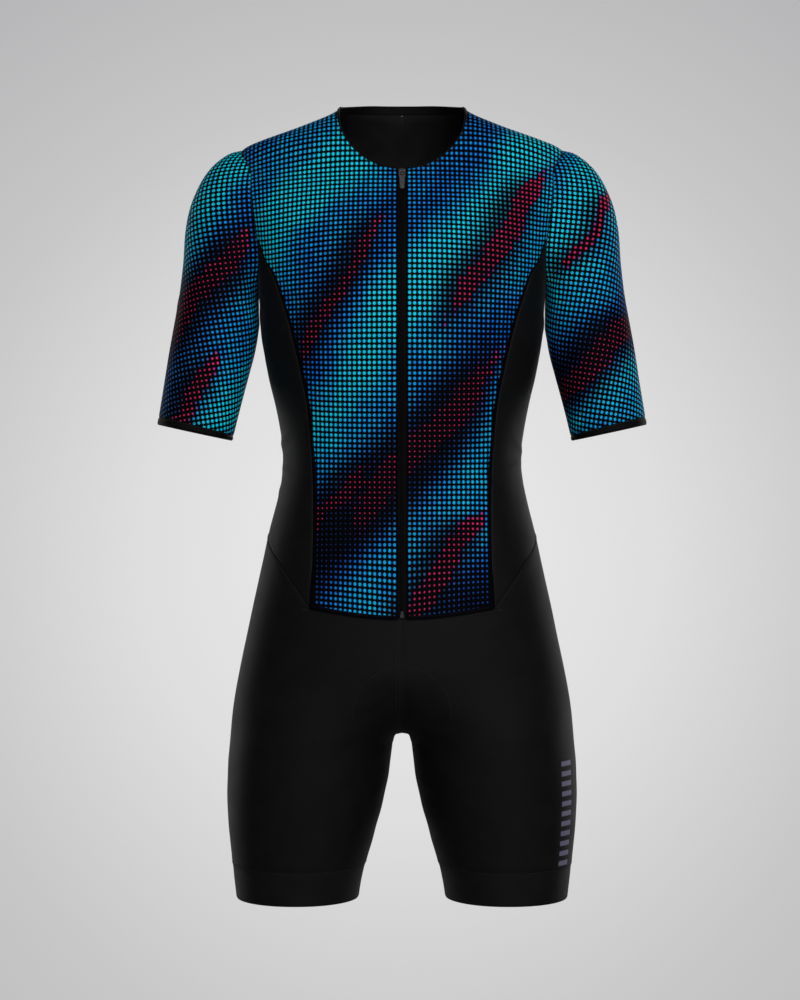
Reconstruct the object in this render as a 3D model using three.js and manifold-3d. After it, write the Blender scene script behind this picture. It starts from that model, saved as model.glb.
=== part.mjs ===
// Short-sleeved triathlon suit, hollow and filled out as it is when worn: a zipped printed
// top with black side panels, joined at the waist to black shorts with gripper bands.
// Millimetres, +Z up. The front faces -Y and the wearer's left is +X. The origin is where the
// shoulders carry the suit: on the middle plane, level with the sides of the neck.
import * as THREE from "three";
import { mergeVertices } from "three/addons/utils/BufferGeometryUtils.js";
import Module from "manifold-3d";

const wasm = await Module();
wasm.setup();

// Driving dimensions
const CLOTH = 1.6; // wall of cloth, one layer
const SEAM = 0.3; // gap between two pieces that are sewn edge to edge
const NECK_HALF_WIDTH = 72.8;
const NECK_FRONT_DROP = 75; // from the side of the neck down to the top of the zip
const NECK_BACK_RISE = 5;
const COLLAR_FRONT = 3.2; // height of the neck binding
const COLLAR_BACK = 10.4;
const COLLAR_TALL_FROM = 58; // turn in degrees at which it begins to grow taller
const COLLAR_TALL_AT = 150; // and at which it has its full height
const COLLAR_LEAN_FROM = 40; // turn at which its lean begins to change to that of the back
const COLLAR_LEAN_AT = 92; // and at which it has it
const COLLAR_THICK = 1.8;
const COLLAR_LEAN = { inAtFront: -0.1, inAtBack: -0.75, frontBack: 0.54, backBack: -0.12 };
const COLLAR_GAP = 0.45; // between the binding and the panels' edges
const SHOULDER_SEAM_TURN = 94; // degrees round from the front centre, just behind the ridge
const ZIP_HALF_GAP = 4.6; // from the middle plane to a front panel's edge
const HEM_CENTRE_Z = -564; // lower edge of the printed front at the zip
const HEM_CORNER_Z = -553; // and at its two corners
const HEM_LIFT = 2.1; // how far the front's lower edge stands off the shorts
const LIFT_START_Z = -505;
const LIFT_FULL_Z = -546;
const GRIPPER_SEAM_Z = -842;
const LEG_HEM_Z = -879;
const GRIPPER_INSET = 0.8; // the band pulls in a little at its seam
const INSET_STEP = { fromBelow: 0.1, toBelow: 0.2 }; // where, below the seam, it has pulled in
const CUFF_DEPTH = 5.2; // black edge of each sleeve
const ARMHOLE = { midY: 4, midZ: -124.2, halfDepth: 50, halfHeight: 80.8, knots: 36 };
const FRONT_JUNCTION = 11; // armhole knot where front and side panels meet
const BACK_JUNCTION = 25; // and side and back panels

// The body of the suit by height: half width, reach to the front and back, and how square.
const BODY = [
  { z: 26, halfWidth: 62, front: 26, back: 53, square: 2.2 },
  { z: 12, halfWidth: 66.5, front: 30, back: 56, square: 2.2 },
  { z: 0, halfWidth: 72.8, front: 34, back: 59, square: 2.2 },
  { z: -7, halfWidth: 85, front: 37, back: 62.5, square: 2.25 },
  { z: -14, halfWidth: 102, front: 40, back: 66, square: 2.3 },
  { z: -21, halfWidth: 119.8, front: 43.5, back: 69.5, square: 2.32 },
  { z: -27.5, halfWidth: 138, front: 46.5, back: 72.5, square: 2.35 },
  { z: -34, halfWidth: 156, front: 49, back: 75.5, square: 2.38 },
  { z: -41, halfWidth: 172.5, front: 52, back: 78.5, square: 2.4 },
  { z: -48, halfWidth: 181.5, front: 54.5, back: 81, square: 2.4 },
  { z: -60, halfWidth: 185, front: 58.5, back: 85, square: 2.4 },
  { z: -75, halfWidth: 188, front: 64, back: 90, square: 2.4 },
  { z: -90, halfWidth: 189, front: 73, back: 95, square: 2.4 },
  { z: -110, halfWidth: 184.5, front: 84, back: 101, square: 2.4 },
  { z: -130, halfWidth: 176, front: 94, back: 106, square: 2.4 },
  { z: -155, halfWidth: 167.5, front: 104.5, back: 110.5, square: 2.4 },
  { z: -180, halfWidth: 162.8, front: 111, back: 113.5, square: 2.38 },
  { z: -205, halfWidth: 160.3, front: 115.5, back: 115, square: 2.35 },
  { z: -225, halfWidth: 158.9, front: 117.8, back: 115, square: 2.32 },
  { z: -247, halfWidth: 158, front: 119, back: 113.5, square: 2.3 },
  { z: -274, halfWidth: 153.8, front: 118.5, back: 110, square: 2.28 },
  { z: -301, halfWidth: 148.6, front: 116, back: 105, square: 2.25 },
  { z: -330, halfWidth: 141.6, front: 112, back: 99, square: 2.22 },
  { z: -360, halfWidth: 136, front: 107.5, back: 93.5, square: 2.2 },
  { z: -390, halfWidth: 133.4, front: 104, back: 89.5, square: 2.2 },
  { z: -415, halfWidth: 135.3, front: 102, back: 88.5, square: 2.2 },
  { z: -440, halfWidth: 140.6, front: 101, back: 90.5, square: 2.2 },
  { z: -470, halfWidth: 148.3, front: 101.5, back: 97, square: 2.22 },
  { z: -500, halfWidth: 154.8, front: 103, back: 106, square: 2.24 },
  { z: -530, halfWidth: 161.4, front: 104.5, back: 114, square: 2.26 },
  { z: -560, halfWidth: 168, front: 105.5, back: 120, square: 2.28 },
  { z: -590, halfWidth: 174.2, front: 106, back: 124, square: 2.3 },
  { z: -620, halfWidth: 180.4, front: 106, back: 125.5, square: 2.3 },
  { z: -650, halfWidth: 185.8, front: 105, back: 124.5, square: 2.3 },
  { z: -680, halfWidth: 190.4, front: 103.5, back: 121, square: 2.3 },
  { z: -710, halfWidth: 193.4, front: 102, back: 116, square: 2.3 },
];

// One leg by height: its axis and its half width and half depth.
const LEG = [
  { z: -600, axisX: 93, axisY: 9, halfWidth: 90, halfDepth: 112 },
  { z: -650, axisX: 96.5, axisY: 9, halfWidth: 91.5, halfDepth: 109 },
  { z: -691, axisX: 100, axisY: 9, halfWidth: 91.6, halfDepth: 105 },
  { z: -709, axisX: 101.9, axisY: 8.5, halfWidth: 91.3, halfDepth: 102 },
  { z: -727, axisX: 103.9, axisY: 8, halfWidth: 91, halfDepth: 99 },
  { z: -745, axisX: 105.3, axisY: 7.5, halfWidth: 90.2, halfDepth: 96 },
  { z: -763, axisX: 107.5, axisY: 7, halfWidth: 88.5, halfDepth: 93 },
  { z: -781, axisX: 109.2, axisY: 6.5, halfWidth: 86.2, halfDepth: 89.5 },
  { z: -799, axisX: 111.4, axisY: 6, halfWidth: 82.9, halfDepth: 86 },
  { z: -816.5, axisX: 112.8, axisY: 5.5, halfWidth: 79.8, halfDepth: 82.5 },
  { z: -834, axisX: 114.5, axisY: 5, halfWidth: 76.2, halfDepth: 79.2 },
  { z: -852, axisX: 116, axisY: 4.5, halfWidth: 73.2, halfDepth: 76 },
  { z: -870, axisX: 116.7, axisY: 4.2, halfWidth: 70.4, halfDepth: 73.4 },
  { z: -886, axisX: 116.9, axisY: 4, halfWidth: 68.6, halfDepth: 71.6 },
];
const LEG_SQUARE = 2.1;
const LEG_BLEND = { startZ: -618, endZ: -708 }; // where one body becomes two legs
const WIDEST = 420; // no radius is larger than this

// One sleeve from the armhole to its hem: the line along its outside and the line under the
// arm, both seen from the front, with the section's middle and half depth.
const SLEEVE = [
  { outX: 178, outZ: -43.4, inX: 160.3, inZ: -205, midY: 4, halfDepth: 50 },
  { outX: 193.5, outZ: -47.8, inX: 160.9, inZ: -209, midY: 4, halfDepth: 51.5 },
  { outX: 209.4, outZ: -59.4, inX: 160.7, inZ: -214, midY: 4, halfDepth: 53 },
  { outX: 221.5, outZ: -74, inX: 160.4, inZ: -219.5, midY: 3.5, halfDepth: 54 },
  { outX: 231, outZ: -92, inX: 160.2, inZ: -226, midY: 3, halfDepth: 54 },
  { outX: 238, outZ: -111.5, inX: 160, inZ: -233, midY: 2.5, halfDepth: 53 },
  { outX: 242.8, outZ: -138, inX: 160, inZ: -242, midY: 2, halfDepth: 52 },
  { outX: 245, outZ: -172, inX: 161.6, inZ: -254, midY: 1, halfDepth: 51 },
  { outX: 248.7, outZ: -204, inX: 165.2, inZ: -273, midY: 0, halfDepth: 50 },
  { outX: 254.2, outZ: -236, inX: 170.3, inZ: -293, midY: -1.5, halfDepth: 49 },
  { outX: 260, outZ: -270, inX: 176.3, inZ: -316, midY: -3.5, halfDepth: 47.5 },
  { outX: 265.8, outZ: -308, inX: 182.8, inZ: -341, midY: -5.5, halfDepth: 45.5 },
  { outX: 272.7, outZ: -351.7, inX: 189.6, inZ: -369.6, midY: -8, halfDepth: 43.2 },
];
const CAP_ROWS = 4; // sleeve sections over which the armhole's own curve fades out
const CAP_CLEAR = 0.05; // kept between sleeve and body beside half a seam's gap

// Printed front: distance of its side edge from the middle plane, by height.
const FRONT_EDGE = [
  { z: -155, x: 158.2 },
  { z: -172, x: 152.5 },
  { z: -188, x: 143 },
  { z: -208, x: 135.5 },
  { z: -235, x: 126.5 },
  { z: -264, x: 118.5 },
  { z: -294, x: 111.5 },
  { z: -330, x: 104.5 },
  { z: -362, x: 101.3 },
  { z: -395, x: 98.8 },
  { z: -430, x: 97.6 },
  { z: -465, x: 97.2 },
  { z: -500, x: 97.8 },
  { z: -530, x: 98.8 },
  { z: -553, x: 99.8 },
];

// Back panel: the same distance on the back.
const BACK_EDGE = [
  { z: -155, x: 161 },
  { z: -180, x: 152 },
  { z: -220, x: 138 },
  { z: -270, x: 124 },
  { z: -320, x: 113 },
  { z: -370, x: 106 },
  { z: -420, x: 104 },
  { z: -470, x: 108 },
];

// Seam between top and shorts beyond the front's corner, by turn from the front centre.
const WAIST_SEAM = [
  { turn: 50.3, z: -547 },
  { turn: 56, z: -531 },
  { turn: 65, z: -508.5 },
  { turn: 72, z: -495.5 },
  { turn: 80, z: -483.5 },
  { turn: 90, z: -474 },
  { turn: 105, z: -468.5 },
  { turn: 130, z: -465 },
  { turn: 180, z: -463 },
];

const rad = THREE.MathUtils.degToRad;
const lerp = THREE.MathUtils.lerp;

// Reads one column of a table at any place between its rows, along a smooth curve.
function column(rows, by, name) {
  const up = rows[0][by] < rows.at(-1)[by] ? rows : [...rows].reverse();
  const at = up.map((row) => row[by]);
  const value = up.map((row) => row[name]);
  const slope = at.map((_, i) => {
    const a = Math.max(i - 1, 0);
    const b = Math.min(i + 1, at.length - 1);
    return (value[b] - value[a]) / (at[b] - at[a]);
  });
  return (x) => {
    let i = at.findIndex((edge) => x < edge) - 1;
    if (x >= at.at(-1)) i = at.length - 2;
    i = Math.max(i, 0);
    const span = at[i + 1] - at[i];
    const t = (x - at[i]) / span;
    if (t < 0) return value[0] + slope[0] * (x - at[0]);
    if (t > 1) return value.at(-1) + slope.at(-1) * (x - at.at(-1));
    const rise = value[i + 1] - value[i];
    const [m0, m1] = [slope[i] * span, slope[i + 1] * span];
    return value[i] + t * (m0 + t * (3 * rise - 2 * m0 - m1 + t * (m0 + m1 - 2 * rise)));
  };
}

// The value between low and high at which a function changes sign.
function rootOf(f, low, high) {
  const sign = Math.sign(f(low));
  for (let i = 0; i < 48; i++) {
    const mid = (low + high) / 2;
    if (Math.sign(f(mid)) === sign) low = mid;
    else high = mid;
  }
  return (low + high) / 2;
}

const body = Object.fromEntries(
  ["halfWidth", "front", "back", "square"].map((name) => [name, column(BODY, "z", name)]),
);
const leg = Object.fromEntries(
  ["axisX", "axisY", "halfWidth", "halfDepth"].map((name) => [name, column(LEG, "z", name)]),
);
const sleeve = Object.fromEntries(
  Object.keys(SLEEVE[0]).map((name) => [
    name,
    column(SLEEVE.map((row, i) => ({ ...row, along: i / (SLEEVE.length - 1) })), "along", name),
  ]),
);
const frontEdge = column(FRONT_EDGE, "z", "x");
const backEdge = column(BACK_EDGE, "z", "x");

// Radius of a rounded-square section in a direction given by its sine and cosine.
function squareRadius(sine, cosine, halfWidth, halfDepth, square) {
  const x = Math.abs(sine) / halfWidth;
  const y = Math.abs(cosine) / halfDepth;
  return (x ** square + y ** square) ** (-1 / square);
}

// A point on the body's left half: turn in degrees, 0 at the front centre and 180 at the back.
function bodyPoint(turn, z) {
  const [sine, cosine] = [Math.sin(rad(turn)), Math.cos(rad(turn))];
  const depth = cosine > 0 ? body.front(z) : body.back(z);
  const r = squareRadius(sine, cosine, body.halfWidth(z), depth, body.square(z));
  return new THREE.Vector3(r * sine, -r * cosine, z);
}

// A knot is a point of the cloth's outer face with the direction that faces out.
function knot(surface, a, b, lift = 0) {
  const step = 0.02;
  const point = surface(a, b);
  const alongA = surface(a + step, b).sub(surface(a - step, b));
  const alongB = surface(a, b + step).sub(surface(a, b - step));
  const normal = alongA.cross(alongB).normalize();
  return { point: point.addScaledVector(normal, lift), normal };
}
const bodyKnot = (turn, z, lift = 0) => knot(bodyPoint, turn, z, lift);

// The turn at which the body at height z is x from the middle plane, on the front or back.
function turnAt(x, z, onBack = false) {
  const [low, high] = onBack ? [90, 180] : [0, 90];
  return rootOf((turn) => bodyPoint(turn, z).x - x, low, high);
}

// The height of the neckline at a turn.
function necklineZ(turn) {
  const level = turn < 90 ? -NECK_FRONT_DROP : NECK_BACK_RISE;
  const off = (z) => {
    const share = Math.min(bodyPoint(turn, z).x / NECK_HALF_WIDTH, 1);
    return z - level * Math.sqrt(1 - share * share);
  };
  return turn < 90 ? rootOf(off, level - 1, 0.5) : rootOf(off, -0.5, level + 1);
}

// A point of the armhole by knot number, counted from the shoulder over the front. Spread
// moves it off the seam line: out onto the body where positive, into the sleeve where negative.
function armhole(number, spread = 0) {
  const angle = (2 * Math.PI * number) / ARMHOLE.knots;
  const y = ARMHOLE.midY - (ARMHOLE.halfDepth + spread) * Math.sin(angle);
  const z = ARMHOLE.midZ + (ARMHOLE.halfHeight + spread) * Math.cos(angle);
  const depth = y < 0 ? body.front(z) : body.back(z);
  const square = body.square(z);
  const x = body.halfWidth(z) * (1 - (Math.abs(y) / depth) ** square) ** (1 / square);
  const turn = THREE.MathUtils.radToDeg(Math.atan2(x, -y));
  return { turn, z, point: new THREE.Vector3(x, y, z) };
}

// A point of the left sleeve: along 0 at the armhole to 1 at the hem, number as on the armhole.
function sleevePoint(number, along) {
  const planar = (share) => {
    const angle = (2 * Math.PI * number) / ARMHOLE.knots;
    const [cosine, sine] = [Math.cos(angle), Math.sin(angle)];
    const [outX, inX] = [sleeve.outX(share), sleeve.inX(share)];
    const [outZ, inZ] = [sleeve.outZ(share), sleeve.inZ(share)];
    return new THREE.Vector3(
      (outX + inX + (outX - inX) * cosine) / 2,
      sleeve.midY(share) - sleeve.halfDepth(share) * sine,
      (outZ + inZ + (outZ - inZ) * cosine) / 2,
    );
  };
  const fade = Math.max(0, 1 - (along * (SLEEVE.length - 1)) / CAP_ROWS) ** 2;
  const own = armhole(number, -SEAM / 2 - CAP_CLEAR).point.sub(planar(0));
  return planar(along).addScaledVector(own, fade);
}

// A point of the left leg: turn in degrees from the inseam over the front to the outside.
function legPoint(turn, z) {
  const [cosine, sine] = [Math.cos(rad(turn)), Math.sin(rad(turn))];
  const [axisX, axisY] = [leg.axisX(z), leg.axisY(z)];
  const share = THREE.MathUtils.smoothstep(-z, -LEG_BLEND.startZ, -LEG_BLEND.endZ);
  const own = squareRadius(cosine, sine, leg.halfWidth(z), leg.halfDepth(z), LEG_SQUARE);
  let radius = own;
  if (share < 1) {
    const [halfWidth, square] = [body.halfWidth(z), body.square(z)];
    const outside = (r) => {
      const [x, y] = [axisX - r * cosine, axisY - r * sine];
      const depth = y < 0 ? body.front(z) : body.back(z);
      return (Math.abs(x) / halfWidth) ** square + (Math.abs(y) / depth) ** square - 1;
    };
    radius = lerp(rootOf(outside, 0, WIDEST), own, share);
  }
  const below = GRIPPER_SEAM_Z - z;
  const pulled = THREE.MathUtils.smoothstep(below, INSET_STEP.fromBelow, INSET_STEP.toBelow);
  const inset = GRIPPER_INSET * pulled;
  return new THREE.Vector3(axisX - (radius - inset) * cosine, axisY - (radius - inset) * sine, z);
}

// Nets: rows of knots. Each function below gives the net of a piece on the wearer's left.

const row = (count, make) => Array.from({ length: count + 1 }, (_, i) => make(i / count, i));
const closedRow = (count, make) => {
  const knots = Array.from({ length: count }, (_, i) => make(i / count));
  return [...knots, knots[0]];
};
const mirrored = (net) => net.map((knots) =>
  [...knots].reverse().map(({ point, normal }) => ({
    point: point.clone().multiply(new THREE.Vector3(-1, 1, 1)),
    normal: normal.clone().multiply(new THREE.Vector3(-1, 1, 1)),
  })));

const BODY_ROWS = 12; // rows from the waist to the armhole's lower junctions
const FRONT_COLUMNS = 7;
const SIDE_COLUMNS = BACK_JUNCTION - FRONT_JUNCTION;
const BACK_COLUMNS = 6;
const NECK_START = 4; // of the rows beside the armhole, those that still end at the zip
const SHOULDER_TAPER = 0.2; // share of the shoulder seam's gap that is lost towards the neck
const HALF_SEAM = SEAM / 2;
const MEAN_RADIUS = 130; // of the body
const SEAM_TURN = THREE.MathUtils.radToDeg(HALF_SEAM / MEAN_RADIUS); // half a seam's gap
const END_FADE = 4; // how late up a side seam its end is drawn onto the armhole's curve
const BACK_CORNER = { lowZ: -480, highZ: -455 }; // the back panel's lower corner is between
const ZIP_TOP_WITHIN = 4; // and the top of the zip this near the neckline's lowest height
const liftAt = (z) => HEM_LIFT * THREE.MathUtils.smoothstep(-z, -LIFT_START_Z, -LIFT_FULL_Z);

// The side seams, from the waist at 0 to the armhole at 1. Each ends on the armhole's curve.
function sideSeam(distance, onBack, cornerZ, junction) {
  const end = armhole(junction, HALF_SEAM);
  const miss = end.turn - turnAt(distance(end.z), end.z, onBack);
  return (v) => {
    const z = lerp(cornerZ, end.z, v);
    return { turn: turnAt(distance(z), z, onBack) + miss * v ** END_FADE, z };
  };
}
const frontSeam = sideSeam(frontEdge, false, HEM_CORNER_Z + HALF_SEAM, FRONT_JUNCTION);
const waistCorner = frontSeam(0).turn;
const waistCurve = column([{ turn: waistCorner, z: HEM_CORNER_Z }, ...WAIST_SEAM], "turn", "z");
const waistSeam = (turn) => (turn <= waistCorner ? HEM_CORNER_Z : waistCurve(turn));
const aboveWaist = (z) => z - waistSeam(turnAt(backEdge(z), z, true));
const backCornerZ = rootOf(aboveWaist, BACK_CORNER.lowZ, BACK_CORNER.highZ);
const backSeam = sideSeam(backEdge, true, backCornerZ + HALF_SEAM, BACK_JUNCTION);
const sideTurn = (u) => lerp(waistCorner, backSeam(0).turn, u);

// The neckline's knots, from the zip to the shoulder seam and from there to the back.
const zipTurn = (z) => turnAt(ZIP_HALF_GAP, z);
const zipTop = rootOf(
  (z) => z - necklineZ(zipTurn(z)),
  -NECK_FRONT_DROP - ZIP_TOP_WITHIN,
  -NECK_FRONT_DROP + ZIP_TOP_WITHIN,
);
const frontNeck = row(FRONT_JUNCTION - NECK_START, (share) =>
  lerp(zipTurn(zipTop), SHOULDER_SEAM_TURN, Math.sin((share * Math.PI) / 2)));
const backNeck = row(ARMHOLE.knots - BACK_JUNCTION - NECK_START, (share) =>
  lerp(SHOULDER_SEAM_TURN, 180, share));

// Printed front panel: from the zip and neckline out to the side seam and armhole.
function frontNet() {
  const underarmZ = frontSeam(1).z;
  const lower = row(BODY_ROWS, (v) => {
    const outer = frontSeam(v);
    const innerZ = lerp(HEM_CENTRE_Z, underarmZ, v);
    return row(FRONT_COLUMNS, (u) => {
      const z = lerp(innerZ, outer.z, u * u);
      return bodyKnot(lerp(zipTurn(z), outer.turn - SEAM_TURN, u), z, liftAt(z));
    });
  });
  const upper = row(FRONT_JUNCTION, (v, i) => {
    const outer = armhole(FRONT_JUNCTION - i, HALF_SEAM);
    let inner;
    if (i <= NECK_START) {
      const z = lerp(underarmZ, zipTop, i / NECK_START);
      inner = { turn: zipTurn(z), z };
    } else {
      const turn = frontNeck[i - NECK_START];
      inner = { turn, z: necklineZ(turn) };
    }
    const away = i === FRONT_JUNCTION ? 2 * SEAM_TURN : 0;
    return row(FRONT_COLUMNS, (u) =>
      bodyKnot(lerp(inner.turn, outer.turn, u) - away, lerp(inner.z, outer.z, u)));
  }).slice(1);
  return [...lower, ...upper];
}

// Black side panel: a four-sided net between the two side seams, waist seam and underarm.
function sideNet() {
  const bottom = (u) => ({ turn: sideTurn(u), z: waistSeam(sideTurn(u)) + HALF_SEAM });
  const top = (u) => armhole(FRONT_JUNCTION + u * SIDE_COLUMNS, HALF_SEAM);
  const mix = (u, v, name) =>
    lerp(bottom(u)[name], top(u)[name], v) + lerp(frontSeam(v)[name], backSeam(v)[name], u)
    - lerp(lerp(bottom(0)[name], bottom(1)[name], u), lerp(top(0)[name], top(1)[name], u), v);
  return row(BODY_ROWS, (v) => row(SIDE_COLUMNS, (u) =>
    bodyKnot(mix(u, v, "turn") + lerp(SEAM_TURN, -SEAM_TURN, u), mix(u, v, "z"))));
}

// Left half of the one-piece back: from the side seam and armhole to the centre and neckline.
function backNet() {
  const lower = row(BODY_ROWS, (v) => {
    const edge = backSeam(v);
    return row(BACK_COLUMNS, (u) => {
      const seamZ = waistSeam(lerp(backSeam(0).turn, 180, u)) + HALF_SEAM;
      const z = lerp(seamZ + edge.z - backSeam(0).z, edge.z, v);
      return bodyKnot(lerp(edge.turn + SEAM_TURN, 180, u), z);
    });
  });
  const rows = ARMHOLE.knots - BACK_JUNCTION;
  const upper = row(rows, (v, i) => {
    const outer = armhole(BACK_JUNCTION + i, HALF_SEAM);
    let inner;
    if (i <= NECK_START) {
      inner = { turn: 180, z: lerp(backSeam(1).z, necklineZ(180), i / NECK_START) };
    } else {
      const turn = backNeck[rows - i];
      inner = { turn, z: necklineZ(turn) };
    }
    const away = i === rows ? 2 * SEAM_TURN : 0;
    return row(BACK_COLUMNS, (u) => {
      const turn = lerp(outer.turn, inner.turn, u) + away * (1 - u * SHOULDER_TAPER);
      return bodyKnot(turn, lerp(outer.z, inner.z, u));
    });
  }).slice(1);
  return [...lower, ...upper];
}

const LEG_FRONT_COLUMNS = 5;
const LEG_TOP_ROWS = 3; // from the waist seam to where the legs begin to part
const LEG_FORK_ROWS = 5; // from there to the crotch
const EDGE_PULL = 4; // how closely the fork's columns gather at the middle plane
const LEG_LOWER_ROWS = 6; // from the crotch to the gripper seam
const LOWER_SPREAD = 1.4; // above 1, those rows are closest together at the crotch
const ABOVE_CROTCH_Z = -640;
const crotchZ = rootOf((z) => legPoint(0, z).x - HALF_SEAM, ABOVE_CROTCH_Z, LEG_BLEND.endZ);

// Left half of the shorts: one piece round the leg, split above the crotch on the middle plane.
function legNet() {
  const turns = [
    ...row(LEG_FRONT_COLUMNS, (u) => sideTurn(0) * u),
    ...row(SIDE_COLUMNS, sideTurn).slice(1),
    ...row(BACK_COLUMNS, (u) => lerp(backSeam(0).turn, 180, u)).slice(1),
  ];
  const offCentre = (found) => {
    found.point.x = Math.max(found.point.x, HALF_SEAM);
    return found;
  };
  const startZ = LEG_BLEND.startZ;
  const top = row(LEG_TOP_ROWS, (v) => turns.map((turn) =>
    offCentre(bodyKnot(turn, lerp(waistSeam(turn) - HALF_SEAM, startZ, v)))));
  const edge = (z, from, to) => rootOf((turn) => legPoint(turn, z).x - HALF_SEAM, from, to);
  const bounds = (z) => (z > crotchZ + 0.01 ? [edge(z, 0, 90), edge(z, 360, 270)] : [0, 360]);
  const [first, last] = bounds(startZ);
  const around = (share, from, to) =>
    360 * share + from * (1 - share) ** EDGE_PULL - (360 - to) * share ** EDGE_PULL;
  const shares = turns.map((turn) => {
    const p = bodyPoint(turn, startZ);
    const angle = Math.atan2(leg.axisY(startZ) - p.y, leg.axisX(startZ) - p.x);
    const degrees = (THREE.MathUtils.radToDeg(angle) + 360) % 360;
    return rootOf((share) => around(share, first, last) - degrees, 0, 1);
  });
  shares[0] = 0;
  shares[shares.length - 1] = 1;
  const ring = (z) => {
    const [from, to] = bounds(z);
    return shares.map((share) => knot(legPoint, around(share, from, to), z));
  };
  const fork = row(LEG_FORK_ROWS, (v) =>
    ring(lerp(startZ, crotchZ, Math.sin((v * Math.PI) / 2)))).slice(1);
  const lower = row(LEG_LOWER_ROWS, (v) =>
    ring(lerp(crotchZ, GRIPPER_SEAM_Z + HALF_SEAM, v ** LOWER_SPREAD))).slice(1);
  return [...top, ...fork, ...lower];
}

const RING_COLUMNS = 24;
const GRIPPER_ROWS = 2;
function gripperNet() {
  return row(GRIPPER_ROWS, (v) => {
    const z = lerp(GRIPPER_SEAM_Z - SEAM, LEG_HEM_Z, v);
    return closedRow(RING_COLUMNS, (u) => knot(legPoint, 360 * u, z));
  });
}

const SLEEVE_ROWS = 9;
const SLEEVE_LENGTH = 330; // from the shoulder down the outside to the hem
const SLEEVE_MEAN_LENGTH = 250; // the same, averaged round the arm
const CUFF_START = 1 - CUFF_DEPTH / SLEEVE_LENGTH;
const sleeveRing = (along) =>
  closedRow(ARMHOLE.knots, (u) => knot(sleevePoint, ARMHOLE.knots * u, along));
const sleeveNet = () => row(SLEEVE_ROWS, (v) => sleeveRing(CUFF_START * v));
const cuffNet = () => [sleeveRing(CUFF_START + SEAM / SLEEVE_MEAN_LENGTH), sleeveRing(1)];

// Neck binding: stands on the neckline from one side of the zip round the back to the other.
// Its lower edge is cut square to the cloth, as the panels' edges below it are.
function collarNet() {
  const base = (turn) => bodyPoint(turn, necklineZ(turn));
  const tall = (turn) => THREE.MathUtils.smoothstep(turn, COLLAR_TALL_FROM, COLLAR_TALL_AT);
  const turned = (turn) => THREE.MathUtils.smoothstep(turn, COLLAR_LEAN_FROM, COLLAR_LEAN_AT);
  const lean = (turn, p) => {
    const across = lerp(COLLAR_LEAN.inAtFront, COLLAR_LEAN.inAtBack, turned(turn));
    const along = lerp(COLLAR_LEAN.frontBack, COLLAR_LEAN.backBack, turned(turn));
    return new THREE.Vector3((across * p.x) / NECK_HALF_WIDTH, along, 1).normalize();
  };
  const half = [...frontNeck, ...backNeck.slice(1)].map((turn) => {
    const p = base(turn);
    const cloth = bodyKnot(turn, p.z).normal;
    const rise = lean(turn, p);
    const tangent = base(Math.min(turn + 1, 180)).sub(base(turn - 1));
    const normal = tangent.cross(rise).normalize();
    const height = lerp(COLLAR_FRONT, COLLAR_BACK, tall(turn)) / rise.z ** tall(turn);
    return [[COLLAR_GAP, cloth], [height, normal]].map(([up, out]) => (
      { point: p.clone().addScaledVector(rise, up), normal: out }));
  });
  half.at(-1).forEach(({ point, normal }) => {
    point.x = 0;
    normal.set(0, normal.y, normal.z).normalize();
  });
  return [half.map((pair) => pair[0]), half.map((pair) => pair[1])];
}

// Solids

// A wall of cloth from nets of knots: the outer face follows the knots and the inner one lies
// a thickness inside it. Knots at one place are shared, so nets that meet become one wall.
function wall(nets, thickness = CLOTH) {
  const knots = [];
  const numbers = new Map();
  const numberOf = (found) => {
    const key = found.point.toArray().map((value) => value.toFixed(2)).join();
    if (!numbers.has(key)) {
      numbers.set(key, knots.length);
      knots.push(found);
    }
    return numbers.get(key);
  };
  const triangles = [];
  for (const net of nets) {
    for (let i = 0; i + 1 < net.length; i++) {
      for (let j = 0; j + 1 < net[i].length; j++) {
        const corners = [net[i][j], net[i][j + 1], net[i + 1][j + 1], net[i + 1][j]];
        const [a, b, c, d] = corners.map(numberOf);
        if (a !== b && b !== c && a !== c) triangles.push([a, b, c]);
        if (a !== c && c !== d && a !== d) triangles.push([a, c, d]);
      }
    }
  }
  const inside = knots.length;
  const edges = new Map();
  for (const [a, b, c] of triangles) {
    for (const [from, to] of [[a, b], [b, c], [c, a]]) {
      if (edges.has(`${to},${from}`)) edges.delete(`${to},${from}`);
      else edges.set(`${from},${to}`, [from, to]);
    }
  }
  const rim = [...edges.values()].flatMap(([from, to]) => [
    [to, from, from + inside],
    [to, from + inside, to + inside],
  ]);
  const inner = triangles.map(([a, b, c]) => [a + inside, c + inside, b + inside]);
  const points = [
    ...knots.map(({ point }) => point),
    ...knots.map(({ point, normal }) => point.clone().addScaledVector(normal, -thickness)),
  ];
  return new THREE.BufferGeometry()
    .setFromPoints(points)
    .setIndex([...triangles, ...inner, ...rim].flat());
}

// Joins closed geometries into one solid.
function joined(...geometries) {
  const solids = geometries.map((geometry) => {
    const bare = new THREE.BufferGeometry();
    bare.setAttribute("position", geometry.getAttribute("position"));
    bare.setIndex(geometry.index);
    const merged = mergeVertices(bare, 1e-4);
    return new wasm.Manifold(new wasm.Mesh({
      numProp: 3,
      vertProperties: merged.attributes.position.array,
      triVerts: new Uint32Array(merged.index.array),
    }));
  });
  const mesh = solids.reduce((a, b) => a.add(b)).getMesh();
  return new THREE.BufferGeometry()
    .setAttribute("position", new THREE.BufferAttribute(mesh.vertProperties, 3))
    .setIndex(new THREE.BufferAttribute(mesh.triVerts, 1));
}

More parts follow.
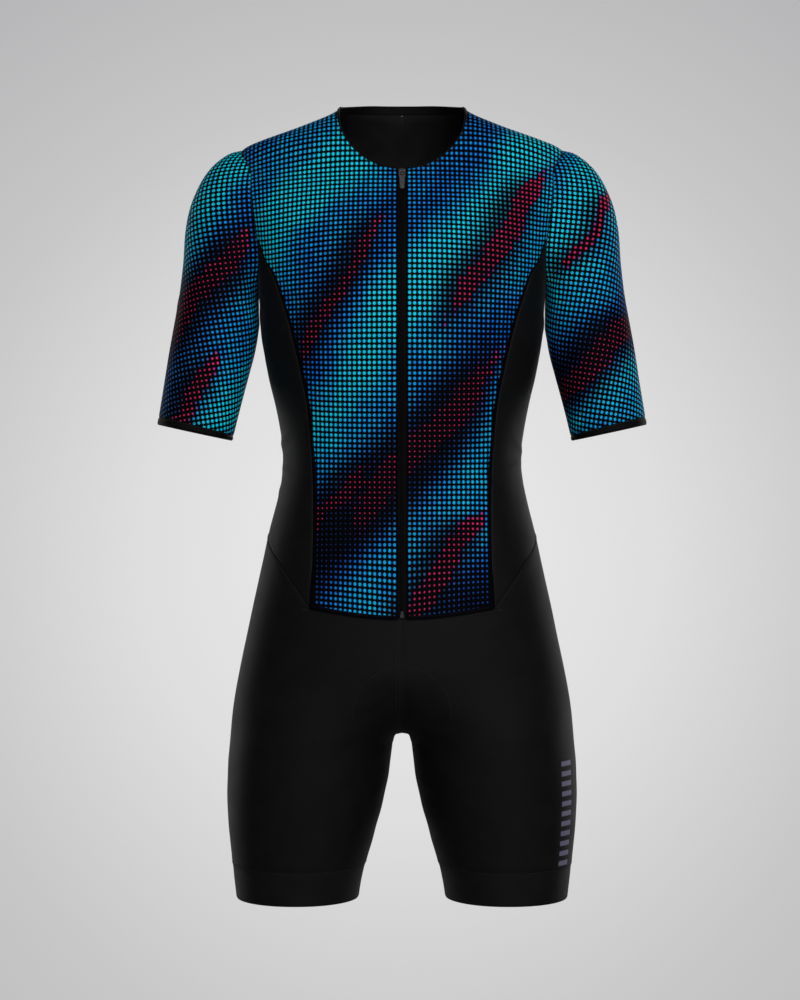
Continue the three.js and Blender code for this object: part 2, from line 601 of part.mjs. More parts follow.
// Zip. Its parts are placed by distance down the chain from the top, x across, and out from
// the cloth's outer face.
const zipProfile = (z) => new THREE.Vector3(0, -body.front(z) - liftAt(z), z);
const zipOut = (z) => {
  const slope = zipProfile(z + 0.5).sub(zipProfile(z - 0.5)).normalize();
  return new THREE.Vector3(0, -slope.z, slope.y);
};
const ZIP_TOP_Z = -77.5;
const ZIP_BOTTOM_Z = -562;
const CHAIN_END_Z = -554.4;
const TAPE = { inner: 0.3, outer: 4.3, face: -0.35, thick: 0.8 };
const CHAIN = { halfWidth: 2.1, face: 1.1, thick: 1.15, startDown: 0.4 };
const END_STOP = { halfWidth: 2.7, face: 1.5, thick: 1.5 };
const ZIP_ROWS = 22;

// A strip down the zip between two distances from the middle plane.
function zipStrip([fromX, toX], { face, thick }, topZ, bottomZ, rows = ZIP_ROWS) {
  const net = row(rows, (v) => {
    const z = lerp(topZ, bottomZ, v);
    const out = zipOut(z);
    return [fromX, toX].map((x) => ({
      point: zipProfile(z).addScaledVector(out, face).setX(x),
      normal: out,
    }));
  });
  return wall([net.reverse()], thick);
}

// Slider and pull, in the slider's own frame: x across, y down the chain, z out of the cloth.
const SLIDER = { length: 11, halfWidth: 3.6, plateFace: 2.2, plateThick: 0.8, backFace: -1.5 };
const BACK_PLATE = { narrower: 0.5, shorter: 1 };
const FLANGE = { thick: 0.6, from: 0.5, face: 0.1 };
const POST = { halfWidth: 1.2, length: 1.9 };
const BRIDGE = {
  halfWidth: 0.9, from: 1.4, to: 9.6, leg: 0.9, top: 4.8, underside: 3.95, corner: 1,
};
const BITE = 0.2; // how far joined solids reach into each other
const PULL = { pivotDown: 4.2, pivotOut: 3.1, thick: 1.2, ringHalf: 3.5, holeHalf: 2.3 };
const PULL_SHAPE = {
  over: 0.5, holeFrom: 0.5, holeTo: 6.6, shoulder: 7.8, slant: 1,
  halfWidth: 2.9, taper: 0.5, cornerDown: 1.6, cornerIn: 2.2, bulge: 0.6, length: 24.6,
};
const SLIDER_TOP_Z = -75.6;

const block = (fromX, toX, fromY, toY, fromZ, toZ) =>
  new THREE.BoxGeometry(toX - fromX, toY - fromY, toZ - fromZ)
    .translate((fromX + toX) / 2, (fromY + toY) / 2, (fromZ + toZ) / 2);

function sliderGeometry() {
  const { length, halfWidth, plateFace, plateThick, backFace } = SLIDER;
  const under = plateFace - plateThick;
  const foot = plateFace - BITE;
  const arch = new THREE.Shape();
  arch.moveTo(BRIDGE.from, foot);
  arch.lineTo(BRIDGE.from, BRIDGE.top - BRIDGE.corner);
  arch.quadraticCurveTo(BRIDGE.from, BRIDGE.top, BRIDGE.from + BRIDGE.corner, BRIDGE.top);
  arch.lineTo(BRIDGE.to - BRIDGE.corner, BRIDGE.top);
  arch.quadraticCurveTo(BRIDGE.to, BRIDGE.top, BRIDGE.to, BRIDGE.top - BRIDGE.corner);
  arch.lineTo(BRIDGE.to, foot);
  arch.lineTo(BRIDGE.to - BRIDGE.leg, foot);
  arch.lineTo(BRIDGE.to - BRIDGE.leg, BRIDGE.underside);
  arch.lineTo(BRIDGE.from + BRIDGE.leg, BRIDGE.underside);
  arch.lineTo(BRIDGE.from + BRIDGE.leg, foot);
  const bridge = new THREE.ExtrudeGeometry(arch, {
    depth: 2 * BRIDGE.halfWidth, bevelEnabled: false, curveSegments: 4,
  });
  // The profile is drawn in x and y, so it is turned to stand across the slider.
  bridge.applyMatrix4(new THREE.Matrix4().set(
    0, 0, 1, -BRIDGE.halfWidth,
    1, 0, 0, 0,
    0, 1, 0, 0,
    0, 0, 0, 1,
  ));
  const backHalf = halfWidth - BACK_PLATE.narrower;
  const backLength = length - BACK_PLATE.shorter;
  const flangeTop = under + BITE;
  return joined(
    block(-halfWidth, halfWidth, 0, length, under, plateFace),
    block(-backHalf, backHalf, 0, backLength, backFace - plateThick, backFace),
    block(-POST.halfWidth, POST.halfWidth, 0, POST.length, backFace - BITE, flangeTop),
    block(halfWidth - FLANGE.thick, halfWidth, FLANGE.from, length, FLANGE.face, flangeTop),
    block(-halfWidth, FLANGE.thick - halfWidth, FLANGE.from, length, FLANGE.face, flangeTop),
    bridge,
  );
}

function pullGeometry() {
  const { over, holeFrom, holeTo, shoulder, slant, halfWidth, length } = PULL_SHAPE;
  const endHalf = halfWidth - PULL_SHAPE.taper;
  const bulgeHalf = halfWidth - PULL_SHAPE.bulge;
  const flatHalf = halfWidth - PULL_SHAPE.cornerIn;
  const cornerFrom = length - PULL_SHAPE.cornerDown;
  const outline = new THREE.Shape();
  outline.moveTo(-PULL.ringHalf, -over);
  outline.lineTo(PULL.ringHalf, -over);
  outline.lineTo(PULL.ringHalf, holeTo);
  outline.quadraticCurveTo(PULL.ringHalf, shoulder, halfWidth, shoulder + slant);
  outline.lineTo(endHalf, cornerFrom);
  outline.quadraticCurveTo(bulgeHalf, length, flatHalf, length);
  outline.lineTo(-flatHalf, length);
  outline.quadraticCurveTo(-bulgeHalf, length, -endHalf, cornerFrom);
  outline.lineTo(-halfWidth, shoulder + slant);
  outline.quadraticCurveTo(-PULL.ringHalf, shoulder, -PULL.ringHalf, holeTo);
  const hole = new THREE.Path();
  hole.moveTo(-PULL.holeHalf, holeFrom);
  hole.lineTo(-PULL.holeHalf, holeTo);
  hole.lineTo(PULL.holeHalf, holeTo);
  hole.lineTo(PULL.holeHalf, holeFrom);
  outline.holes.push(hole);
  const plate = new THREE.ExtrudeGeometry(outline, {
    depth: PULL.thick, bevelEnabled: false, curveSegments: 3,
  });
  return plate.translate(0, PULL.pivotDown, PULL.pivotOut - PULL.thick / 2);
}

// The frame of the slider: its origin on the cloth's face at the slider's top edge.
const sliderFrame = (() => {
  const out = zipOut(SLIDER_TOP_Z - SLIDER.length / 2);
  const down = new THREE.Vector3(0, -out.z, out.y);
  const across = new THREE.Vector3().crossVectors(down, out);
  const frame = new THREE.Group();
  frame.applyMatrix4(new THREE.Matrix4().makeBasis(across, down, out));
  frame.position.copy(zipProfile(SLIDER_TOP_Z));
  return frame;
})();

// Materials
const material = (color, roughness, metalness = 0) =>
  new THREE.MeshStandardMaterial({ color, roughness, metalness, flatShading: true });
const printed = material(0x0b5c8a, 0.6);
const black = material(0x141416, 0.65);
const binding = material(0x0c0c0e, 0.7);
const tapeBlack = material(0x17171a, 0.75);
const metal = material(0x2a2a2c, 0.35, 0.8);

// Assembly
const suit = new THREE.Group();
const add = (name, geometry, finish, parent = suit) => {
  const mesh = new THREE.Mesh(geometry, finish);
  mesh.name = name;
  parent.add(mesh);
};
const pair = (name, net, finish) => {
  add(`${name}_left`, wall([net]), finish);
  add(`${name}_right`, wall([mirrored(net)]), finish);
};
const turned = (net) => [...net].reverse();

pair("front_panel", frontNet(), printed);
pair("side_panel", sideNet(), black);
add("back_panel", wall([backNet(), mirrored(backNet())]), printed);
pair("sleeve", sleeveNet(), printed);
pair("sleeve_hem", cuffNet(), binding);
pair("leg", turned(legNet()), black);
pair("leg_gripper", turned(gripperNet()), black);
add("collar_binding", wall([collarNet(), mirrored(collarNet())], COLLAR_THICK), binding);

const centred = ({ halfWidth }) => [-halfWidth, halfWidth];
const leftTape = zipStrip([TAPE.inner, TAPE.outer], TAPE, ZIP_TOP_Z, ZIP_BOTTOM_Z);
const rightTape = zipStrip([-TAPE.outer, -TAPE.inner], TAPE, ZIP_TOP_Z, ZIP_BOTTOM_Z);
const chain = zipStrip(centred(CHAIN), CHAIN, ZIP_TOP_Z - CHAIN.startDown, CHAIN_END_Z);
const endStop = zipStrip(centred(END_STOP), END_STOP, CHAIN_END_Z - SEAM, ZIP_BOTTOM_Z, 1);
add("zip_tape_left", leftTape, tapeBlack);
add("zip_tape_right", rightTape, tapeBlack);
add("zip_chain", chain, tapeBlack);
add("zip_end_stop", endStop, metal);
suit.add(sliderFrame);
add("zip_slider", sliderGeometry(), metal, sliderFrame);
add("zip_pull", pullGeometry(), metal, sliderFrame);

export default suit;
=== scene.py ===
"""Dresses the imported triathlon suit: its knit panels, print, seams, zip and studio."""

import logging
import math
from collections.abc import Callable, Sequence
from dataclasses import dataclass, field
from enum import Enum

import bmesh
import bpy
import numpy as np
from mathutils import Matrix, Vector


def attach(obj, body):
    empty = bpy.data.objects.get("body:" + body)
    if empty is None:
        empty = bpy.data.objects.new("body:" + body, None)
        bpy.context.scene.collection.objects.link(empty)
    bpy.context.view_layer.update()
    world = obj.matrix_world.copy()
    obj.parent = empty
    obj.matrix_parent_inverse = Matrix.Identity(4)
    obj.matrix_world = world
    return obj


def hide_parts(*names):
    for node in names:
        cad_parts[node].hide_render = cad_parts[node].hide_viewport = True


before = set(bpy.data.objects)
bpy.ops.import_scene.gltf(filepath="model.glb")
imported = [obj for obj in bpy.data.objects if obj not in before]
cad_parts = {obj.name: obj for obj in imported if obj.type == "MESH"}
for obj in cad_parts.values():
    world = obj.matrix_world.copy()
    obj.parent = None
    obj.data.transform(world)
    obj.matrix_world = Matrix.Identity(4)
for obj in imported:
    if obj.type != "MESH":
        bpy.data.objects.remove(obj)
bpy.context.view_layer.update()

LOG = logging.getLogger("suit")
MM = 0.001

# The form of the suit in millimetres, from the same tables as its solids.
SEAM = 0.3
HALF_SEAM = SEAM / 2
NECK_HALF_WIDTH = 72.8
NECK_FRONT_DROP = 75.0
NECK_BACK_RISE = 5.0
SHOULDER_SEAM_TURN = 94.0
ZIP_HALF_GAP = 4.6
HEM_CENTRE_Z = -564.0
HEM_CORNER_Z = -553.0
HEM_LIFT = 2.1
LIFT_START_Z = -505.0
LIFT_FULL_Z = -546.0
GRIPPER_SEAM_Z = -842.0
LEG_HEM_Z = -879.0
GRIPPER_INSET = 0.8
CUFF_DEPTH = 5.2
SLEEVE_LENGTH = 330.0
ARM_Y, ARM_Z, ARM_HALF_DEPTH, ARM_HALF_HEIGHT, ARM_KNOTS = 4.0, -124.2, 50.0, 80.8, 36
FRONT_JUNCTION, BACK_JUNCTION, NECK_START = 11, 25, 4
LEG_SQUARE = 2.1
LEG_BLEND_FROM, LEG_BLEND_TO = 618.0, 708.0
EDGE_PULL = 4
SLEEVE_TUCK = 0.05

# How finely the form is worked out, and how its cloth is laid flat, rolled and joined.
HALVINGS = 44
FLAT_STEPS = 1500
FLAT_REST = 1e-7
PIN_HOLD = 50.0
SOFT_WEIGHT = 0.09
JOIN_DISTANCE = 2e-6
ROLL_PLACES = (0, 0.22, 0.5)
FIRST_ROWS = (0, 0.0015, 0.004)
UNEVENNESS = 0.09
PROBE = 0.05
ENDS = ("lower", "upper")
ALL_EDGES = ("first", "last", *ENDS)
ACROSS = np.array([-1, 1, 1])
FLAT_ACROSS = np.array([-1, 1])

BODY = [
    (26, 62, 26, 53, 2.2), (12, 66.5, 30, 56, 2.2), (0, 72.8, 34, 59, 2.2),
    (-7, 85, 37, 62.5, 2.25), (-14, 102, 40, 66, 2.3), (-21, 119.8, 43.5, 69.5, 2.32),
    (-27.5, 138, 46.5, 72.5, 2.35), (-34, 156, 49, 75.5, 2.38), (-41, 172.5, 52, 78.5, 2.4),
    (-48, 181.5, 54.5, 81, 2.4), (-60, 185, 58.5, 85, 2.4), (-75, 188, 64, 90, 2.4),
    (-90, 189, 73, 95, 2.4), (-110, 184.5, 84, 101, 2.4), (-130, 176, 94, 106, 2.4),
    (-155, 167.5, 104.5, 110.5, 2.4), (-180, 162.8, 111, 113.5, 2.38),
    (-205, 160.3, 115.5, 115, 2.35), (-225, 158.9, 117.8, 115, 2.32),
    (-247, 158, 119, 113.5, 2.3), (-274, 153.8, 118.5, 110, 2.28),
    (-301, 148.6, 116, 105, 2.25), (-330, 141.6, 112, 99, 2.22), (-360, 136, 107.5, 93.5, 2.2),
    (-390, 133.4, 104, 89.5, 2.2), (-415, 135.3, 102, 88.5, 2.2), (-440, 140.6, 101, 90.5, 2.2),
    (-470, 148.3, 101.5, 97, 2.22), (-500, 154.8, 103, 106, 2.24), (-530, 161.4, 104.5, 114, 2.26),
    (-560, 168, 105.5, 120, 2.28), (-590, 174.2, 106, 124, 2.3), (-620, 180.4, 106, 125.5, 2.3),
    (-650, 185.8, 105, 124.5, 2.3), (-680, 190.4, 103.5, 121, 2.3), (-710, 193.4, 102, 116, 2.3),
]
LEG = [
    (-600, 93, 9, 90, 112), (-650, 96.5, 9, 91.5, 109), (-691, 100, 9, 91.6, 105),
    (-709, 101.9, 8.5, 91.3, 102), (-727, 103.9, 8, 91, 99), (-745, 105.3, 7.5, 90.2, 96),
    (-763, 107.5, 7, 88.5, 93), (-781, 109.2, 6.5, 86.2, 89.5), (-799, 111.4, 6, 82.9, 86),
    (-816.5, 112.8, 5.5, 79.8, 82.5), (-834, 114.5, 5, 76.2, 79.2), (-852, 116, 4.5, 73.2, 76),
    (-870, 116.7, 4.2, 70.4, 73.4), (-886, 116.9, 4, 68.6, 71.6),
]
SLEEVE = [
    (178, -43.4, 160.3, -205, 4, 50), (193.5, -47.8, 160.9, -209, 4, 51.5),
    (209.4, -59.4, 160.7, -214, 4, 53), (221.5, -74, 160.4, -219.5, 3.5, 54),
    (231, -92, 160.2, -226, 3, 54), (238, -111.5, 160, -233, 2.5, 53),
    (242.8, -138, 160, -242, 2, 52), (245, -172, 161.6, -254, 1, 51),
    (248.7, -204, 165.2, -273, 0, 50), (254.2, -236, 170.3, -293, -1.5, 49),
    (260, -270, 176.3, -316, -3.5, 47.5), (265.8, -308, 182.8, -341, -5.5, 45.5),
    (272.7, -351.7, 189.6, -369.6, -8, 43.2),
]
CAP_ROWS = 4
FRONT_EDGE = [
    (-155, 158.2), (-172, 152.5), (-188, 143), (-208, 135.5), (-235, 126.5), (-264, 118.5),
    (-294, 111.5), (-330, 104.5), (-362, 101.3), (-395, 98.8), (-430, 97.6), (-465, 97.2),
    (-500, 97.8), (-530, 98.8), (-553, 99.8),
]
BACK_EDGE = [
    (-155, 161), (-180, 152), (-220, 138), (-270, 124), (-320, 113), (-370, 106),
    (-420, 104), (-470, 108),
]
WAIST_SEAM = [
    (50.3, -547), (56, -531), (65, -508.5), (72, -495.5), (80, -483.5), (90, -474),
    (105, -468.5), (130, -465), (180, -463),
]

Grid = np.ndarray


class Side(Enum):
    """The wearer's side that a piece is made for."""

    LEFT = 1
    RIGHT = -1

    @property
    def word(self) -> str:
        """The side's name in small letters."""
        return self.name.lower()


class Column:
    """One column of a table, read at any place along a smooth curve."""

    def __init__(self, rows: Sequence[Sequence[float]], by: int, value: int) -> None:
        """Takes the column's knots from a table.

        Args:
            rows: The table.
            by: The number of the column that places each row.
            value: The number of the column that is read.
        """
        ordered = sorted(rows, key=lambda row: row[by])
        self.at = np.array([row[by] for row in ordered], float)
        self.value = np.array([row[value] for row in ordered], float)
        low = np.maximum(np.arange(len(ordered)) - 1, 0)
        high = np.minimum(np.arange(len(ordered)) + 1, len(ordered) - 1)
        self.slope = (self.value[high] - self.value[low]) / (self.at[high] - self.at[low])

    def __call__(self, x: Grid | float) -> Grid:
        """The column's value at x, carried on in a straight line past either end.

        Args:
            x: Places along the column.

        Returns:
            The value at each place.
        """
        x = np.asarray(x, float)
        i = np.clip(np.searchsorted(self.at, x, side="right") - 1, 0, len(self.at) - 2)
        span = self.at[i + 1] - self.at[i]
        t = (x - self.at[i]) / span
        rise = self.value[i + 1] - self.value[i]
        m0, m1 = self.slope[i] * span, self.slope[i + 1] * span
        inside = self.value[i] + t * (
            m0 + t * (3 * rise - 2 * m0 - m1 + t * (m0 + m1 - 2 * rise))
        )
        under = self.value[0] + self.slope[0] * (x - self.at[0])
        over = self.value[-1] + self.slope[-1] * (x - self.at[-1])
        return np.where(t < 0, under, np.where(t > 1, over, inside))


def mix(a: Grid | float, b: Grid | float, share: Grid | float) -> Grid:
    """The value a share of the way from a to b."""
    return a + (b - a) * share


def smoothstep(x: Grid | float, low: float, high: float) -> Grid:
    """0 at low and 1 at high, with a soft start and end."""
    t = np.clip((np.asarray(x, float) - low) / (high - low), 0, 1)
    return t * t * (3 - 2 * t)


def root(function: Callable[[Grid], Grid], low: Grid, high: Grid) -> Grid:
    """Finds where a function changes sign, for many places at once.

    Args:
        function: The function of an array.
        low: Where each search begins.
        high: Where each search ends.

    Returns:
        The places, as an array of the shape of low and high.
    """
    low, high = (a.copy() for a in np.broadcast_arrays(
        np.asarray(low, float), np.asarray(high, float)))
    sign = np.sign(function(low))
    for _ in range(HALVINGS):
        middle = (low + high) / 2
        same = np.sign(function(middle)) == sign
        low = np.where(same, middle, low)
        high = np.where(same, high, middle)
    return (low + high) / 2


def unit(vectors: Grid, least: float = 1e-9) -> Grid:
    """The vectors at a length of one, where they are longer than the least length."""
    return vectors / np.maximum(np.linalg.norm(vectors, axis=-1, keepdims=True), least)


class BodyForm:
    """The filled-out suit as smooth surfaces: body, legs and sleeves of the wearer's left."""

    def __init__(self) -> None:
        """Reads the tables and works out where the seams begin and end."""
        self.half_width, self.front, self.back, self.square = (
            Column(BODY, 0, i) for i in range(1, 5))
        self.leg = [Column(LEG, 0, i) for i in range(1, 5)]
        placed = [(i / (len(SLEEVE) - 1), *row) for i, row in enumerate(SLEEVE)]
        self.sleeve = [Column(placed, 0, i) for i in range(1, 7)]
        self.front_edge = Column(FRONT_EDGE, 0, 1)
        self.back_edge = Column(BACK_EDGE, 0, 1)
        self.seam_turn = math.degrees(HALF_SEAM / 130)
        front_end = self.armhole(FRONT_JUNCTION, HALF_SEAM)
        back_end = self.armhole(BACK_JUNCTION, HALF_SEAM)
        self.front_end_z, self.back_end_z = float(front_end[1]), float(back_end[1])
        self.front_miss = float(front_end[0] - self.turn_at(
            self.front_edge(self.front_end_z), self.front_end_z))
        self.back_miss = float(back_end[0] - self.turn_at(
            self.back_edge(self.back_end_z), self.back_end_z, True))
        self.corner_turn = float(self.front_seam(0.0)[0])
        self.waist = Column([(self.corner_turn, HEM_CORNER_Z), *WAIST_SEAM], 0, 1)
        self.back_corner_z = float(root(
            lambda z: z - self.waist_seam(self.turn_at(self.back_edge(z), z, True)),
            -480, -455))
        self.back_turn = float(self.back_seam(0.0)[0])
        self.zip_top = float(root(
            lambda z: z - self.neckline(self.zip_turn(z)), -NECK_FRONT_DROP - 4,
            -NECK_FRONT_DROP + 4))
        self.crotch_z = float(root(
            lambda z: self.leg_point(0 * z, z)[..., 0] - HALF_SEAM, -640, -LEG_BLEND_TO))

    def body_point(self, turn: Grid, z: Grid) -> Grid:
        """A point of the body: turn in degrees, 0 at the front centre and 180 at the back.

        Args:
            turn: Degrees round the body, 0 at the front centre.
            z: Heights.

        Returns:
            The points, in millimetres.
        """
        turn, z = np.broadcast_arrays(np.asarray(turn, float), np.asarray(z, float))
        sine, cosine = np.sin(np.radians(turn)), np.cos(np.radians(turn))
        depth = np.where(cosine > 0, self.front(z), self.back(z))
        square = self.square(z)
        r = ((np.abs(sine) / self.half_width(z)) ** square
             + (np.abs(cosine) / depth) ** square) ** (-1 / square)
        return np.stack([r * sine, -r * cosine, z], -1)

    def turn_at(self, x: Grid, z: Grid, on_back: bool = False) -> Grid:
        """The turn at which the body at height z is x from the middle plane.

        Args:
            x: Distances from the middle plane.
            z: Heights.
            on_back: True for the back, False for the front.

        Returns:
            The turns, in degrees.
        """
        x, z = np.broadcast_arrays(np.asarray(x, float), np.asarray(z, float))
        low, high = (90, 180) if on_back else (0, 90)
        return root(lambda turn: self.body_point(turn, z)[..., 0] - x, low + 0 * z, high + 0 * z)

    def zip_turn(self, z: Grid) -> Grid:
        """The turn of a front panel's edge beside the zip."""
        return self.turn_at(ZIP_HALF_GAP, z)

    def neckline(self, turn: Grid) -> Grid:
        """The height of the neckline at a turn.

        Args:
            turn: Degrees round the body.

        Returns:
            The heights.
        """
        turn = np.asarray(turn, float)
        level = np.where(turn < 90, -NECK_FRONT_DROP, NECK_BACK_RISE)

        def off(z: Grid) -> Grid:
            """How far a height lies above the neckline."""
            share = np.minimum(self.body_point(turn, z)[..., 0] / NECK_HALF_WIDTH, 1)
            return z - level * np.sqrt(1 - share * share)

        return root(off, np.where(turn < 90, level - 1, -0.5),
                    np.where(turn < 90, 0.5, level + 1))

    def armhole(self, number: Grid, off: float = 0.0) -> tuple[Grid, Grid, Grid]:
        """A point of the armhole's seam.

        Args:
            number: The place on the seam, in 36ths from the shoulder over the front.
            off: How far off the seam line, out onto the body where positive.

        Returns:
            Its turn, its height and the point.
        """
        angle = 2 * np.pi * np.asarray(number, float) / ARM_KNOTS
        y = ARM_Y - (ARM_HALF_DEPTH + off) * np.sin(angle)
        z = ARM_Z + (ARM_HALF_HEIGHT + off) * np.cos(angle)
        depth = np.where(y < 0, self.front(z), self.back(z))
        square = self.square(z)
        x = self.half_width(z) * (1 - (np.abs(y) / depth) ** square) ** (1 / square)
        return np.degrees(np.arctan2(x, -y)), z, np.stack([x, y, z], -1)

    def front_seam(self, v: Grid) -> tuple[Grid, Grid]:
        """Turn and height of the front's side seam, from the waist at 0 to the armhole at 1."""
        z = mix(HEM_CORNER_Z + HALF_SEAM, self.front_end_z, np.asarray(v, float))
        return self.turn_at(self.front_edge(z), z) + self.front_miss * np.asarray(v) ** 4, z

    def back_seam(self, v: Grid) -> tuple[Grid, Grid]:
        """Turn and height of the back's side seam, from the waist at 0 to the armhole at 1."""
        z = mix(self.back_corner_z + HALF_SEAM, self.back_end_z, np.asarray(v, float))
        return self.turn_at(self.back_edge(z), z, True) + self.back_miss * np.asarray(v) ** 4, z

    def waist_seam(self, turn: Grid) -> Grid:
        """The height of the seam between top and shorts at a turn."""
        return np.where(np.asarray(turn) <= self.corner_turn, HEM_CORNER_Z, self.waist(turn))

    def side_turn(self, u: Grid) -> Grid:
        """The turn across the side panel's lower edge, from front at 0 to back at 1."""
        return mix(self.corner_turn, self.back_turn, u)

    def sleeve_point(self, number: Grid, along: Grid) -> Grid:
        """A point of the sleeve: along is 0 at the armhole and 1 at the hem.

        Args:
            number: The place round the sleeve, in 36ths.
            along: The share of the way down the sleeve.

        Returns:
            The points, in millimetres.
        """
        number, along = np.broadcast_arrays(np.asarray(number, float), np.asarray(along, float))
        angle = 2 * np.pi * number / ARM_KNOTS

        def planar(share: Grid) -> Grid:
            """A point of the flat ring at a share of the way down."""
            out_x, out_z, in_x, in_z, mid_y, depth = (c(share) for c in self.sleeve)
            return np.stack([
                (out_x + in_x + (out_x - in_x) * np.cos(angle)) / 2,
                mid_y - depth * np.sin(angle),
                (out_z + in_z + (out_z - in_z) * np.cos(angle)) / 2,
            ], -1)

        fade = np.maximum(0, 1 - along * (len(SLEEVE) - 1) / CAP_ROWS) ** 2
        own = self.armhole(number, -HALF_SEAM - SLEEVE_TUCK)[2] - planar(0 * along)
        return planar(along) + own * fade[..., None]

    def leg_point(self, turn: Grid, z: Grid) -> Grid:
        """A point of the leg: turn in degrees from the inseam over the front.

        Args:
            turn: Degrees round the leg.
            z: Heights.

        Returns:
            The points, in millimetres.
        """
        turn, z = np.broadcast_arrays(np.asarray(turn, float), np.asarray(z, float))
        cosine, sine = np.cos(np.radians(turn)), np.sin(np.radians(turn))
        axis_x, axis_y, half_width, half_depth = (c(z) for c in self.leg)
        share = smoothstep(-z, LEG_BLEND_FROM, LEG_BLEND_TO)
        own = ((np.abs(cosine) / half_width) ** LEG_SQUARE
               + (np.abs(sine) / half_depth) ** LEG_SQUARE) ** (-1 / LEG_SQUARE)
        width, square = self.half_width(z), self.square(z)

        def outside(r: Grid) -> Grid:
            """How far outside the body a radius reaches.

            Args:
                r: Distances from the leg's axis.

            Returns:
                A number that is 0 on the body's surface.
            """
            x, y = axis_x - r * cosine, axis_y - r * sine
            depth = np.where(y < 0, self.front(z), self.back(z))
            return (np.abs(x) / width) ** square + (np.abs(y) / depth) ** square - 1

        whole = root(outside, 0 * z, 420 + 0 * z)
        radius = mix(whole, own, share)
        radius = radius - GRIPPER_INSET * smoothstep(GRIPPER_SEAM_Z - z, 0.1, 0.9)
        return np.stack([axis_x - radius * cosine, axis_y - radius * sine, z], -1)

    def lift(self, z: Grid) -> Grid:
        """How far the front's lower edge stands off the shorts at a height."""
        return HEM_LIFT * smoothstep(-np.asarray(z), -LIFT_START_Z, -LIFT_FULL_Z)


FORM = BodyForm()


def spread(count: int, extra: float) -> Grid:
    """Shares from 0 to 1 with close ones beside both ends, for a seam's rolled edge.

    Args:
        count: How many even steps there are.
        extra: The share of the width that one rolled edge takes.

    Returns:
        The shares in order.
    """
    roll = extra * np.array(ROLL_PLACES)
    return np.concatenate([roll, np.linspace(extra, 1 - extra, count + 1), 1 - roll[::-1]])


def normals_of(points: Grid, closed: bool = False) -> Grid:
    """The outward normals of a grid of points whose columns run round and whose rows run up.

    Args:
        points: The grid, rows by columns by 3.
        closed: True where the last column is the first one again.

    Returns:
        Unit normals in the same layout.
    """
    if closed:
        points = np.concatenate([points[:, -2:-1], points, points[:, 1:2]], 1)
    found = unit(np.cross(np.gradient(points, axis=1), np.gradient(points, axis=0)))
    return found[:, 1:-1] if closed else found


def solve_flat(points: Grid, direction: Grid, pinned: Grid | None) -> Grid:
    """Lays one axis of the cloth flat: a value whose slope follows a direction everywhere.

    Args:
        points: The grid of points.
        direction: A unit direction at each point.
        pinned: The value that each row's first point keeps, NaN where it is free, or None.

    Returns:
        The value at each point, in millimetres.
    """
    def goal(a: tuple, b: tuple) -> tuple[Grid, Grid]:
        """The wished steps from one set of points to the next.

        Args:
            a: Where each step begins.
            b: Where it ends.

        Returns:
            The steps and their weights.
        """
        step = points[b] - points[a]
        return ((direction[a] + direction[b]) / 2 * step).sum(-1), 1 / (
            (step * step).sum(-1) + SOFT_WEIGHT)

    left, right = np.s_[:, :-1], np.s_[:, 1:]
    lower, upper = np.s_[:-1], np.s_[1:]
    goal_h, weight_h = goal(left, right)
    goal_v, weight_v = goal(lower, upper)
    pin = np.zeros(points.shape[:2])
    if pinned is None:
        pin[0, 0] = 1.0
        target = 0.0
    else:
        held = np.isfinite(pinned)
        pin[held, 0] = PIN_HOLD
        target = np.zeros_like(pin)
        target[held, 0] = pinned[held]

    def gather(h: Grid, v: Grid) -> Grid:
        """Sums what the steps across and up bring to each point.

        Args:
            h: The steps across.
            v: The steps up.

        Returns:
            The sums.
        """
        out = np.zeros_like(pin)
        out[right] += h
        out[left] -= h
        out[upper] += v
        out[lower] -= v
        return out

    def system(f: Grid) -> Grid:
        """What a set of values asks of each point."""
        return gather(weight_h * (f[right] - f[left]), weight_v * (f[upper] - f[lower])) + pin * f

    scale = pin.copy()
    scale[right] += weight_h
    scale[left] += weight_h
    scale[upper] += weight_v
    scale[lower] += weight_v
    found = np.concatenate([[0], np.cumsum(goal_v[:, 0])])[:, None] + np.concatenate(
        [np.zeros((len(pin), 1)), np.cumsum(goal_h, 1)], 1)
    if pinned is not None:
        found += np.nanmean(pinned)
    residual = gather(weight_h * goal_h, weight_v * goal_v) + pin * target - system(found)
    step = residual / scale
    strength = (residual * step).sum()
    for _ in range(FLAT_STEPS):
        moved = system(step)
        size = strength / (step * moved).sum()
        found = found + size * step
        residual = residual - size * moved
        eased = residual / scale
        following = (residual * eased).sum()
        if following < FLAT_REST:
            break
        step = eased + following / strength * step
        strength = following
    return found


def lay_flat(points: Grid, normals: Grid, grain: Sequence[float], upright: bool,
             pinned: Grid | None = None) -> Grid:
    """The flat pattern of a piece of cloth: where each point lies before it is worn.

    Args:
        points: The grid of points.
        normals: Its normals.
        grain: A direction that the cloth's width follows, or its length where upright.
        upright: True where grain is the direction of the cloth's length.
        pinned: Width values that the first column keeps, or None.

    Returns:
        Width and length at each point, in metres.
    """
    grain = np.asarray(grain, float)
    straight = unit(grain - (normals @ grain)[..., None] * normals, 1e-6)
    if upright:
        across, along = np.cross(straight, normals), straight
    else:
        across, along = straight, np.cross(normals, straight)
    width = solve_flat(points, across, pinned)
    length = solve_flat(points, along, None)
    return np.stack([width, length], -1) * MM


